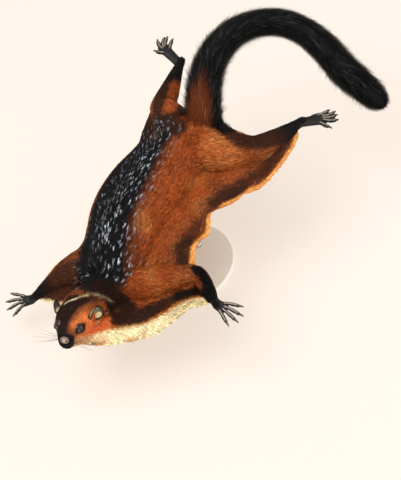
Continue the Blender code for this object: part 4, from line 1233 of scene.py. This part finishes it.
def downstream(points, flows, length):
    """For each point of the skin the index of the one that its hair ends over."""
    tree = KDTree(len(points))
    for index, point in enumerate(points.tolist()):
        tree.insert(point, index)
    tree.balance()
    return np.array([tree.find(target)[1] for target in (points + flows * (0.6 * length)[:, None]).tolist()])


FLECK_COUNT = 620
FLECK_SPACING = 0.0044
FLECK_CROWDING = 0.60
FLECK_LENGTH = 0.0032
FLECK_WIDTH = 0.00105
FLECK_TRIES = 12000
BARE_EYE, BARE_EAR = 0.0072, 0.0062


def flecks(points, flows, band):
    """Places and ways of the pale flecks on the dark band, evenly scattered."""
    head = from_head(points)
    limit, _ = from_line(points, BAND_RIGHT)
    nape, _ = from_line(points, NAPE)
    chance = np.where(band > 0.08, 0.4 + 0.6 * band, 0.0) * (head > 0.062) * (limit > 0.007) * (nape > 0.014)
    order = RNG.choice(len(points), FLECK_TRIES, p=chance / chance.sum())
    kept = []
    for index in order:
        offsets = points[kept] - points[index]
        along = offsets @ flows[index]
        beside = offsets - along[:, None] * flows[index]
        apart = np.hypot(along * FLECK_CROWDING, lengths(beside))
        if not kept or apart.min() > FLECK_SPACING * RNG.uniform(0.6, 1.2):
            kept.append(index)
        if len(kept) == FLECK_COUNT:
            break
    return points[kept], flows[kept], band[kept]


def fleck_amount(roots, centres, ways, strengths):
    """How much of a fleck's colour each root takes."""
    index, _ = nearest(roots, centres)
    offset = roots - centres[index]
    along = (offset * ways[index]).sum(1)
    beside = lengths(offset - along[:, None] * ways[index])
    scale = 0.55 + 0.55 * np.sin(index * 2.4) ** 2
    size = np.hypot(along / FLECK_LENGTH, beside / FLECK_WIDTH) / scale
    return fade(size, 0.65, 1.05) * np.minimum(strengths[index], 1.0)


TUFTS = {
    "coat_back": 34000,
    "coat_belly": 15000,
    "coat_head": 30000,
    "coat_foreleg_left": 13000,
    "coat_foreleg_right": 11000,
    "coat_hindleg_left": 17000,
    "coat_hindleg_right": 14000,
    "coat_patagium_left_top": 20000,
    "coat_patagium_left_under": 9000,
    "coat_patagium_right_top": 16000,
    "coat_patagium_right_under": 9000,
    "coat_neck_web_left_top": 9000,
    "coat_neck_web_left_under": 6000,
    "coat_neck_web_right_top": 5000,
    "coat_neck_web_right_under": 5000,
}


def coat_pieces(places, normals):
    """The name of the coat piece that each point of the skin belongs to."""
    names = list(places)
    closest = np.argmin([place["away"] for place in places.values()], axis=0)
    pieces = np.empty(len(normals), dtype=object)
    for k, name in enumerate(names):
        here = closest == k
        place = places[name]
        if name == "trunk":
            pieces[here & (place["angle"] > -10)] = "coat_back"
            pieces[here & (place["angle"] <= -10)] = "coat_belly"
        elif "top" in place:
            pieces[here & place["top"]] = f"coat_{name}_top"
            pieces[here & ~place["top"]] = f"coat_{name}_under"
        else:
            pieces[here] = "coat_" + name
    return pieces


def coat(skin, places, flows, colours):
    """All the tufts of the body, in pieces."""
    mesh = skin.data
    points, normals = coordinates(mesh), normals_of(mesh)
    triangles = triangles_of(mesh)
    corners = points[triangles]
    areas = lengths(np.cross(corners[:, 1] - corners[:, 0], corners[:, 2] - corners[:, 0]))
    pieces = coat_pieces(places, normals)[triangles[:, 0]]
    length, width, lift = coat_lengths(points, places)
    band = dorsal_band(points, places) * (1 - under_side(normals))
    centres, ways, centre_band = flecks(points, flows, band)
    line = smooth_through(FLECK_BRIGHTEST, 60) + MIDDLE
    bright = np.exp(-((nearest(centres, line)[1] / 0.022) ** 2))
    strengths = (0.20 + 0.80 * RNG.random(len(centres)) ** 1.3) * (0.5 + 0.5 * centre_band)
    strengths *= 0.5 + 0.9 * bright
    ahead = downstream(points, flows, length)
    colours, band = colours[ahead], band[ahead]
    sockets = [eye_place(side) for side in SIDES]
    cups = [head_point(EAR_AT[0] + 0.003, angle) for angle in (EAR_AT[1] - 4, 184 - EAR_AT[1])]
    material = coat_material("coat", bump=0.0)
    for name, count in TUFTS.items():
        part = name.removeprefix("coat_").replace("_top", "").replace("_under", "")
        part = {"back": "trunk", "belly": "trunk"}.get(part, part)
        here = np.flatnonzero(pieces == name)
        weights = areas[here]
        chosen = here[np.searchsorted(np.cumsum(weights), RNG.random(count) * weights.sum())]
        first, second = RNG.random(count), RNG.random(count)
        over = first + second > 1
        first[over], second[over] = 1 - first[over], 1 - second[over]
        shares = np.stack([1 - first - second, first, second], axis=-1)
        corner = triangles[chosen]

        def at(values):
            return (values[corner] * shares.reshape(shares.shape + (1,) * (values.ndim - 1))).sum(1)

        roots, up, flow, paint = at(points), unit(at(normals)), at(flows), at(colours)
        keep = np.ones(count, bool)
        for centre, outward in sockets:
            offset = roots - centre
            beside = lengths(offset - (offset @ outward)[:, None] * outward)
            keep &= (beside > BARE_EYE) | (offset @ outward < 0)
        for place in cups:
            keep &= lengths(roots - place) > BARE_EAR
        side = np.cross(up, flow)
        turn = RNG.normal(0, 0.20, count)[:, None]
        flow = unit(flow * np.cos(turn) + side * np.sin(turn))
        flow = unit(flow - up * (flow * up).sum(1)[:, None])
        spots = fleck_amount(roots, centres, ways, strengths) * (at(band) > 0.05)
        shine = np.exp(RNG.normal(0, 0.36, count))
        pale = RNG.random(count) < 0.10
        paint = mixed(paint * shine[:, None], LIGHT_RUSSET, 0.35 * pale * (paint[:, 0] > 0.08))
        paint = mixed(paint, FLECK, spots)
        spreads = ((length, 0.75, 1.2), (width, 0.8, 1.25), (lift, 0.6, 1.25))
        sizes = [at(size) * RNG.uniform(low, high, count) for size, low, high in spreads]
        flat = unwrapped(places[part])[corner[:, 0]]
        tones = [paint * 0.55, paint, np.minimum(paint * 1.25, 1.0)]
        roots, up, flow = roots[keep], up[keep], flow[keep]
        sizes = [size[keep] for size in sizes]
        tones = [tone[keep] for tone in tones]
        dress(tuft_object(name, roots, up, flow, sizes, tones, flat[keep]), material)


# The tail's brush


class TailLine:
    """The middle of the brush, read by the distance from the tail's root; one side of it is fuller."""

    def __init__(self):
        path = smooth_through(TAIL_LINE, 400) + MIDDLE
        run = np.concatenate([[0], np.cumsum(lengths(np.diff(path, axis=0)))])
        fuller = unit(np.cross(TAIL_FACE, np.gradient(path, axis=0)))
        path += fuller * np.interp(run, *FULLER)[:, None]
        forward, left, up = frames(path)
        self.length = run[-1]
        self.run = np.concatenate([[-0.05], run, [run[-1] + 0.05]])
        values = np.hstack([path, forward, left, up])
        self.values = np.vstack([values[0], values, values[-1]])
        self.values[0, :3] -= forward[0] * 0.05
        self.values[-1, :3] += forward[-1] * 0.05

    def at(self, distance):
        """Centre, forward, left and up at distances from the root."""
        read = np.stack([np.interp(distance, self.run, self.values[:, k]) for k in range(12)], axis=-1)
        return read[..., :3], unit(read[..., 3:6]), unit(read[..., 6:9]), unit(read[..., 9:])


def core_radius(distance):
    return TAIL_CORE + (TAIL_ROOT - TAIL_CORE) * np.exp(-((distance / 0.030) ** 2))


def tail_colours(run, turn):
    """Black, with a brown stripe along the top of its root."""
    colours = np.tile(TAIL_BLACK, (len(run), 1))
    degrees = np.degrees(turn) % 360
    degrees = np.where(degrees > 270, degrees - 360, degrees)
    first = np.interp(run, (-0.020, 0.010, 0.035), (36, 68, 92))
    last = np.interp(run, (0.0, 0.035), (126, 106))
    stripe = ramp(degrees, first - 12, first + 10) * fade(degrees, last - 10, last + 12)
    stripe *= fade(run, 0.012, 0.042)
    return mixed(colours, BROWN * 0.8, stripe)


def tail_skin(line):
    rings = []
    for run in np.linspace(-0.004, line.length - 0.026, 120):
        centre, _, left, up = line.at(run)
        radius = core_radius(run) * (1 - 0.6 * ramp(run, line.length - 0.05, line.length)) - 0.0012
        rings.append(oval(centre, left, up, radius, radius, radius, 40))
    points, quads, ends = loft_parts(rings)
    skin = mesh_object("tail_skin", points, quads, ends)
    set_colours(skin.data, np.tile(BLACK * 0.8, (len(points), 1)))
    return skin


# The brush's radius by distance from the root, how far its middle lies to its fuller side, seen along
# TAIL_FACE, and its end
BRUSH_OUTLINE = ((-0.03, 0.0, 0.03, 0.06, 0.10, 0.14, 0.18, 0.24, 0.28, 0.32, 0.34, 0.37),
                 (0.0240, 0.0265, 0.0258, 0.0255, 0.0238, 0.0215, 0.0196, 0.0200, 0.0225, 0.0236, 0.0230,
                  0.0190))
TAIL_FACE = np.array([0.5101, -0.3591, 0.7816])
FULLER = ((0.0, 0.03, 0.06, 0.10, 0.14, 0.18, 0.22, 0.26, 0.30, 0.33, 0.36),
          (0.0, 0.0012, 0.0026, 0.0029, 0.0045, 0.0022, 0.0036, 0.0026, 0.0018, 0.0, -0.0014))
TIP_ROUND = 0.020
TIP_REACH = -0.002
# A long hair's sections along it, their widths, and how grey a grey hair is at each
TAIL_SECTIONS = (0.0, 0.18, 0.42, 0.70, 1.0)
TAIL_WIDTHS = (0.7, 1.0, 0.9, 0.6)
TAIL_GREYS = (0.2, 0.8, 1.0, 0.7, 0.3)
TAIL_OUTLINE = ((-1, -1), (1, -1), (-1, -0.5), (1, -0.5), (-1, 0), (1, 0), (-0.7, 0.5), (0.7, 0.5), (0, 1))


def brush(name, line, count, first, last, width, reach):
    """Long hairs of the tail between two distances from its root; a few guard hairs stand out of them."""
    root = RNG.uniform(first, last, count)
    turn = RNG.uniform(0, 2 * math.pi, count)
    length = RNG.uniform(0.030, 0.048, count)
    share = np.where(RNG.random(count) < 0.55, RNG.uniform(0.84, 1.06, count), RNG.uniform(0.45, 0.90, count))
    guard = (RNG.random(count) < 0.09) * (reach > 0.9)
    share = np.where(guard, RNG.uniform(1.08, 1.30, count), share) * reach
    length = np.where(guard, length * 0.6, length)
    at_end = root + length > line.length - TIP_ROUND
    dome = np.sqrt(RNG.random(count)) * 1.02
    dome_run = line.length - TIP_ROUND + (TIP_ROUND + TIP_REACH) * np.sqrt(np.maximum(1 - dome**2, 0))
    length = np.where(at_end, dome_run - root + guard * RNG.uniform(0.001, 0.005, count), length)
    inner = core_radius(root) * 0.85
    tip_radius = np.interp(root + length, *BRUSH_OUTLINE) * np.where(at_end, dome * reach, share)
    curl = RNG.normal(0, 0.14, count)
    bow = np.where(guard, 0.75, RNG.uniform(1.3, 2.4, count))
    centres, halves = [], []
    for k, part in enumerate(TAIL_SECTIONS):
        run = root + part * length
        centre, forward, left, up = line.at(run)
        radius = inner + (tip_radius - inner) * (1 - (1 - part) ** bow)
        radius = np.maximum(radius, 0.9 * core_radius(run) * (run < line.length - 0.030))
        angle = turn + curl * part**2
        out = left * np.cos(angle)[:, None] + up * np.sin(angle)[:, None]
        centres.append(centre + out * radius[:, None])
        if k < len(TAIL_WIDTHS):
            around = np.cross(forward, out)
            half = 0.5 * width * TAIL_WIDTHS[k] * RNG.uniform(0.8, 1.2, count) * (1 + 1.7 * guard)
            halves.append(around * half[:, None])
    paint = tail_colours(root, turn) * np.exp(RNG.normal(0, 0.30, count))[:, None]
    grey = (RNG.random(count) < 0.10) * RNG.uniform(0.10, 0.55, count) * (reach > 0.9) * (paint[:, 0] < 0.02)
    tones = [mixed(paint, GREY, grey * strength) for strength in TAIL_GREYS]
    place = np.stack([spread_out(root / line.length), spread_out(turn / (2 * math.pi))], axis=-1)
    return strips(name, centres, halves, tones, place, TAIL_OUTLINE)


# Eyes, lids, ears, nose, paws and whiskers


def sphere_grid(centre, axis, radius, rings, sides):
    """Rings of points over a ball, from the way it faces round to its back."""
    side = unit(np.cross(axis, [0.3, 0.2, 0.9]))
    other = np.cross(axis, side)
    angle = np.linspace(0.02, math.pi - 0.02, rings)[:, None, None]
    turn = np.linspace(0, 2 * math.pi, sides, endpoint=False)[None, :, None]
    ring = side * np.cos(turn) + other * np.sin(turn)
    return centre + radius * (axis * np.cos(angle) + ring * np.sin(angle)), np.degrees(angle[:, 0, 0])


def eye(side, material):
    centre, outward = eye_place(side)
    sides = 56
    rings, angles = sphere_grid(centre, outward, EYE_RADIUS, 40, sides)
    points, quads, ends = loft_parts(rings)
    ball = mesh_object("eyeball_" + side, points, quads, ends)
    shade = np.append(np.repeat(angles, sides), (0, 180))
    iris, pupil, white_and_painted_light = rgb(78, 42, 42), rgb(6, 5, 6), rgb(176, 150, 158)
    colours = np.tile(pupil, (len(points), 1))
    colours = mixed(colours, iris, ramp(shade, 26, 36) * 0.9)
    # A pale crescent at the front and lower edge: partly the eye's white, partly painted light in the eye
    forward, _, up = head_frame()
    low = unit(points - centre) @ unit(forward * 0.75 - up * 0.66)
    colours = mixed(colours, white_and_painted_light, ramp(shade, 44, 52) * ramp(low, 0.66, 0.78) * 0.5)
    set_colours(ball.data, colours)
    dress(ball, material)
    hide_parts("eye_" + side)


# The lid's rows from its rim outwards: height over the eyeball and spread in radians
LID_ROWS = ((0.00005, 0.0), (0.0005, 0.0), (0.0008, 0.05), (0.0006, 0.12), (-0.0001, 0.20), (-0.0016, 0.28))
LID_SIDES = 72


def lids(side, material):
    """The lids: a soft ring from the rim over the eye out to the skin, pointed at its corners."""
    centre, outward = eye_place(side)
    forward, _, _ = head_frame()
    along = unit(forward - outward * (forward @ outward))
    across = np.cross(outward, along)
    turn = np.linspace(0, 2 * math.pi, LID_SIDES, endpoint=False)
    corner = abs(np.cos(turn)) ** 6
    opening = np.radians(42 + 30 * corner - 5 * (np.sin(turn) > 0))
    way = along * np.cos(turn)[:, None] + across * np.sin(turn)[:, None]
    rows = []
    for out, spread in LID_ROWS:
        angle = opening + spread * (1 + 0.5 * corner)
        radius = EYE_RADIUS + out
        rows.append(centre + radius * (outward * np.cos(angle)[:, None] + way * np.sin(angle)[:, None]))
    grid = np.array(rows)
    lid = mesh_object("lids_" + side, grid.reshape(-1, 3), grid_faces(len(rows), LID_SIDES))
    thicken(lid, 0.0004, -1.0)
    set_colours(lid.data, np.tile(BLACK, (len(rows) * LID_SIDES, 1)))
    dress(lid, material)


def ear(side, material):
    """A cupped ear, open outwards and forwards."""
    sign = 1 if side == "left" else -1
    distance, angle = EAR_AT
    angle = angle if side == "left" else 180 - angle
    base = head_point(distance, angle, -0.0035)
    forward, left, up = head_frame()
    rise = unit(left * sign * 0.50 + up * 0.82 - forward * 0.22)
    opening = unit(left * sign * 0.88 + forward * 0.42 - up * 0.10)
    opening = unit(opening - rise * (opening @ rise))
    across = np.cross(rise, opening)
    rows, columns = 30, 37
    heights = np.linspace(0, 1, rows)
    spans = np.linspace(-1, 1, columns)
    grid = np.empty((rows, columns, 3))
    for i, h in enumerate(heights):
        width = EAR_HALF_WIDTH * (0.72 + 0.55 * math.sin(h * 2.2)) * math.sqrt(max(1 - (h * 0.97) ** 4, 0.0))
        for j, v in enumerate(spans):
            curl = v * math.radians(115 - 55 * h)
            hollow = opening * (width * (1 - math.cos(curl)) * 0.85 - 0.004)
            grid[i, j] = base + rise * h * EAR_HEIGHT + across * width * math.sin(curl) * 1.1 + hollow
    cup = mesh_object("pinna_" + side, grid.reshape(-1, 3), grid_faces(rows, columns, False))
    thicken(cup, 0.0009, 0.0)
    colours = np.tile(rgb(136, 136, 106), (rows * columns, 1))
    colours = mixed(colours, SHADE, 0.7 * ramp(np.tile(spans, rows), 0.0, 0.7))
    lobe = np.hypot((spans[None] - 0.62) / 0.30, (heights[:, None] - 0.30) / 0.30).ravel()
    colours = mixed(colours, rgb(232, 206, 156), fade(lobe, 0.75, 1.05))
    if side == "right":
        colours = mixed(colours, SHADE, 0.85 * ramp(np.repeat(heights, columns), 0.30, 0.55))
    edge = ramp(np.maximum(abs(spans[None]), heights[:, None]), 0.80, 0.93).ravel()
    colours = mixed(colours, BLACK, edge)
    set_colours(cup.data, colours)
    dress(cup, material)
    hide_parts("ear_" + side)


def nose(material):
    forward, left, up = head_frame()
    centre = head_axis(NOSE_AT)
    sides = 48
    rings, _ = sphere_grid(np.zeros(3), np.array([1.0, 0, 0]), 1.0, 40, sides)
    local = rings.reshape(-1, 3)
    x, y, z = local.T
    groove = 0.16 * np.exp(-((y / 0.10) ** 2)) * (x > 0)
    hole = np.exp(-(((abs(y) - 0.46 - 0.35 * z) / 0.17) ** 2 + ((z - 0.05) / 0.34) ** 2)) * (x > 0)
    scale = 1 - groove - 0.42 * hole
    points = centre + np.outer(x * NOSE_SIZE[0] * scale, forward) + np.outer(y * NOSE_SIZE[1], left)
    points += np.outer(z * NOSE_SIZE[2], up)
    _, quads, ends = loft_parts(rings)
    points = np.vstack([points, points[:sides].mean(0), points[-sides:].mean(0)])
    pad = mesh_object("nose_pad", points, quads, ends)
    colours = np.tile(rgb(182, 156, 138), (len(local), 1))
    # Painted shade: the pad darker towards its edges
    colours = mixed(colours, rgb(104, 76, 66), ramp(np.hypot(y, z), 0.55, 0.9) * 0.8)
    colours = mixed(colours, rgb(36, 24, 22), np.clip(hole * 1.8, 0, 1))
    set_colours(pad.data, np.vstack([colours, colours[:1], colours[-1:]]))
    dress(pad, material)
    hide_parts("nose")


def paw(name, flesh_material, claw_material):
    """A paw of palm and knuckled toes in one surface, with painted highlights along the toes, and its claws.
    """
    leg, forward, up, length, toes = PAWS[name]
    kind = name.split("_")[0]
    path, radii = limb_path(leg, 12)
    wrist_way = unit(path[-1] - path[-2])
    forward = unit(forward)
    up = unit(np.array(up) - forward * (forward @ np.array(up)))
    side_way = np.cross(up, forward)
    start = path[-1] - wrist_way * 0.004
    width = PALM_HALF_WIDTH[kind] - 0.0004
    wrist_left = unit(side_way - wrist_way * (side_way @ wrist_way))
    wrist_radius = radii[-1] - 0.0010
    rings = [oval(start, wrist_left, np.cross(wrist_way, wrist_left), *[wrist_radius] * 3, 24)]
    turn_from = path[-1] + wrist_way * 0.0035
    for part, broad, thick in PALM_SECTIONS:
        rings.append(oval(turn_from + forward * length * part, side_way, up, width * broad,
                          width * thick * 0.78, width * thick, 24, 2.3))
    parts, claws, highlight_lines = [loft_parts(rings)], [], []
    for number, (fan, toe_length, sway) in enumerate(toes):
        place = 1 - 2 * number / (len(toes) - 1)
        outer_toe = abs(place) > 0.9
        root = turn_from + forward * length * (0.70 if outer_toe else 0.86) + side_way * width * 0.70 * place
        way = unit(forward * math.cos(math.radians(fan)) + side_way * math.sin(math.radians(fan)))
        aside = np.cross(up, way) * sway
        bends = zip(TOE_PARTS, TOE_BENDS[kind])
        points = [root + (way * a + up * b + aside * max(a, 0) ** 2) * toe_length for a, b in bends]
        way = unit(way + aside * 2)
        toe_radii = smooth_line([TOE_RADIUS * TOE_STOUT[kind] * share for share in TOE_RADII], 22)
        parts.append(tube_parts(smooth_through(points, 22), toe_radii, 14))
        highlight_lines.append(smooth_through(points, 60)[16:56] + up * TOE_RADIUS)
        curve = [points[-1] - way * CLAW_SUNK]
        curve += [points[-1] + (way * a + up * b) * CLAW_LENGTH for a, b in CLAW_BENDS]
        claw_radii = np.maximum(smooth_line(CLAW_RADII, 16), CLAW_TIP)
        claws.append(tube_parts(smooth_through(curve, 16), claw_radii, 10, 1.2, False))
    flesh = remeshed(joined("paw_" + name, parts), PAW_VOXEL)
    points = smoothed(coordinates(flesh.data), edges_of(flesh.data), 4)
    move_points(flesh.data, points)
    # Painted highlights: pale lines along the tops of the toes
    _, away = nearest(points, np.vstack(highlight_lines))
    colours = np.tile(BLACK, (len(points), 1))
    colours = mixed(colours, rgb(178, 168, 152), fade(away, 0.0003, 0.0012) * 0.66)
    set_colours(flesh.data, colours)
    dress(flesh, flesh_material)
    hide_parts(name)
    dress(joined("claws_" + name, claws), claw_material)


# Each whisker's place on the head and its length
WHISKERS = ((0.0300, 8, 0.034), (0.0285, -4, 0.040), (0.0310, -14, 0.036), (0.0270, -20, 0.030),
            (0.0325, -2, 0.026), (0.0290, 16, 0.028))


def whiskers(side, material):
    """Thin stiff hairs at the sides of the muzzle, swept back."""
    sign = 1 if side == "left" else -1
    forward, left, up = head_frame()
    parts = []
    for distance, angle, length in WHISKERS:
        turned = angle if side == "left" else 180 - angle
        root = head_point(distance, turned, -0.002)
        out = head_normal(distance, turned)
        way = unit(out * 0.9 + forward * 0.25 + up * 0.15)
        bend = unit(-forward + left * sign * 0.2)
        line = [root + way * length * t + bend * length * 0.22 * t**2 for t in np.linspace(0, 1, 10)]
        parts.append(tube_parts(line, np.linspace(0.00022, 0.00004, 10), 6, 1.0, False))
    dress(joined("whiskers_" + side, parts), material)


# The stand, floor, lights and camera


def turned(name, profile, centre, sides, material, node):
    """A turned piece from a profile of radius and height, in the place of its node."""
    turn = np.linspace(0, 2 * math.pi, sides, endpoint=False)
    x, y = np.cos(turn), np.sin(turn)
    rings = [np.stack([centre[0] + r * x, centre[1] + r * y, np.full(sides, z)], axis=-1) for r, z in profile]
    made = mesh_object(name, *loft_parts(rings))
    made.data.set_sharp_from_angle(angle=math.radians(40))
    dress(made, material)
    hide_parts(node)


def rod_top(place):
    path, _, _, depths, _ = trunk_path(200)
    index = int(np.argmin(abs(path[:, 1] - place[1])))
    return path[index, 2] - depths[index] + ROD_SOCKET


# Profiles of radius and height: the base's lower edge, and a rod's collar over the base
BASE_EASE = 0.0025
BASE_FOOT = ((BASE_RADIUS, 0.0012), (BASE_RADIUS - 0.001, 0.0))
COLLAR = ((ROD_RADIUS, 0.0049), (0.0062, 0.0048), (0.0070, 0.0040), (0.0070, 0.0008), (0.0062, 0.0002))


def stand():
    """The round base with an eased edge, and two rods with collars."""
    lacquer, tree, shader = shader_of("stand_lacquer", 0.38, Specular_IOR_Level=0.5, Coat_Weight=0.15,
                                      Coat_Roughness=0.2)
    clouded(tree, shader, grain_of(tree, 60.0, of_object=True), (0.84, 0.80, 0.74), (0.88, 0.84, 0.78))
    corner = (BASE_RADIUS - BASE_EASE, BASE_THICKNESS - BASE_EASE)
    edge = [(corner[0] + BASE_EASE * math.sin(turn), corner[1] + BASE_EASE * math.cos(turn))
            for turn in np.linspace(0, math.pi / 2, 8)]
    profile = [(0.0005, BASE_THICKNESS), (0.03, BASE_THICKNESS), *edge, *BASE_FOOT]
    turned("base_plate", profile, (0, 0), 96, lacquer, "stand_base")
    steel, tree, shader = shader_of("stand_steel", 0.28, Metallic=1.0)
    shader.inputs["Base Color"].default_value = (0.60, 0.60, 0.61, 1)
    tree.links.new(spread_of(tree, grain_of(tree, 900.0), 0.24, 0.36), shader.inputs["Roughness"])
    for name, place in ROD_PLACES.items():
        top = rod_top(place)
        profile = [(0.0005, top), (ROD_RADIUS, top - 0.0005)]
        profile += [(radius, BASE_THICKNESS + height) for radius, height in COLLAR]
        turned("rod" + name.removeprefix("stand_rod"), profile, place, 40, steel, name)


VIEW_RIGHT = np.array([0.7611, 0.6117, -0.2157])
VIEW_UP = np.array([-0.4007, 0.7049, 0.5854])
VIEW_BACK = np.array([0.5101, -0.3591, 0.7816])
VIEW_AIM = MIDDLE + np.array([0.0742, 0.0356, -0.0321])
VIEW_DISTANCE = 2.2
VIEW_LENS = 126.92
# Each light's place to the right of, above and before the middle, its size and its power
LIGHTS = {
    "key": ((-0.9, 0.9, 1.6), 1.6, 34.0),
    "fill": ((1.4, 0.4, 1.0), 1.6, 13.0),
    "low": ((0.2, -1.5, 0.9), 1.2, 8.0),
}
FLOOR_HALF = 4


def placed(obj, location, back, up):
    """Puts a camera or light in place, looking the opposite way to back."""
    back = unit(back)
    right = unit(np.cross(up, back))
    turn = Matrix(np.stack([right, np.cross(back, right), back], axis=1).tolist())
    obj.matrix_world = Matrix.Translation(location) @ turn.to_4x4()
    bpy.context.scene.collection.objects.link(obj)


def studio():
    camera = bpy.data.cameras.new("camera")
    camera.sensor_fit = "VERTICAL"
    camera.sensor_height = 36.0
    camera.lens = VIEW_LENS
    camera.clip_start = 0.05
    holder = bpy.data.objects.new("camera", camera)
    placed(holder, VIEW_AIM + VIEW_BACK * VIEW_DISTANCE, VIEW_BACK, VIEW_UP)
    scene = bpy.context.scene
    scene.camera = holder
    scene.view_settings.view_transform = "Standard"
    for name, ((right, above, before), size, power) in LIGHTS.items():
        light = bpy.data.lights.new(name, "AREA")
        light.size = size
        light.energy = power
        way = right * VIEW_RIGHT + above * VIEW_UP + before * VIEW_BACK
        placed(bpy.data.objects.new(name, light), MIDDLE + way, way, VIEW_UP)
    world = bpy.data.worlds.new("world")
    world.use_nodes = True
    background = world.node_tree.nodes["Background"]
    background.inputs["Color"].default_value = (1.0, 0.97, 0.93, 1)
    background.inputs["Strength"].default_value = 0.72
    scene.world = world
    corners = [(x * FLOOR_HALF, y * FLOOR_HALF, 0) for x, y in ((-1, -1), (1, -1), (1, 1), (-1, 1))]
    floor = mesh_object("floor", corners, np.array([[0, 1, 2, 3]]))
    paper, tree, shader = shader_of("floor", 0.9, Emission_Color=(0.60, 0.53, 0.465, 1),
                                    Emission_Strength=1.0)
    clouded(tree, shader, grain_of(tree, 3.0), (0.31, 0.285, 0.26), (0.34, 0.31, 0.28))
    floor.data.materials.append(paper)


FLESH = ("head", "neck", "torso", "patagium_left", "patagium_right", "neck_web_left", "neck_web_right",
         "foreleg_left", "foreleg_right", "hindleg_left", "hindleg_right")


def main():
    skin = skin_mesh()
    points, normals = coordinates(skin.data), normals_of(skin.data)
    places = {name: part.read(points) for name, part in body_parts().items()}
    flows = flow_field(places, points, normals, edges_of(skin.data))
    colours = body_colours(points, normals, places)
    set_colours(skin.data, colours * 0.7)
    dress(skin, coat_material("skin"))
    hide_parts(*FLESH)
    coat(skin, places, flows, colours)

    line = TailLine()
    tail = tail_skin(line)
    dress(tail, coat_material("tail_skin"))
    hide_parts("tail_1", "tail_2", "tail_3", "tail_4")
    hair = coat_material("brush", 0.5, bump=0.0)
    start, end = -0.026, line.length - 0.030
    for number in range(3):
        first, last = (start + (end - start) * part / 3 for part in (number, number + 1))
        dress(brush(f"brush_under_{number + 1}", line, 5000, first, last, 0.0016, 0.72), hair)
        dress(brush(f"brush_{number + 1}", line, 13000, first, last, 0.00065, 1.0), hair)

    glossy = coat_material("glossy", 0.08, bump=0.0, specular=0.5)
    bare = coat_material("bare_skin", 0.5, bump=0.3, scale=1500.0, specular=0.3)
    horn, _, shader = shader_of("horn", 0.3)
    shader.inputs["Base Color"].default_value = (0.05, 0.04, 0.035, 1)
    for side in SIDES:
        eye(side, glossy)
        lids(side, bare)
        ear(side, bare)
        whiskers(side, horn)
    nose(bare)
    for name in PAWS:
        paw(name, bare, horn)
    stand()
    studio()


main()
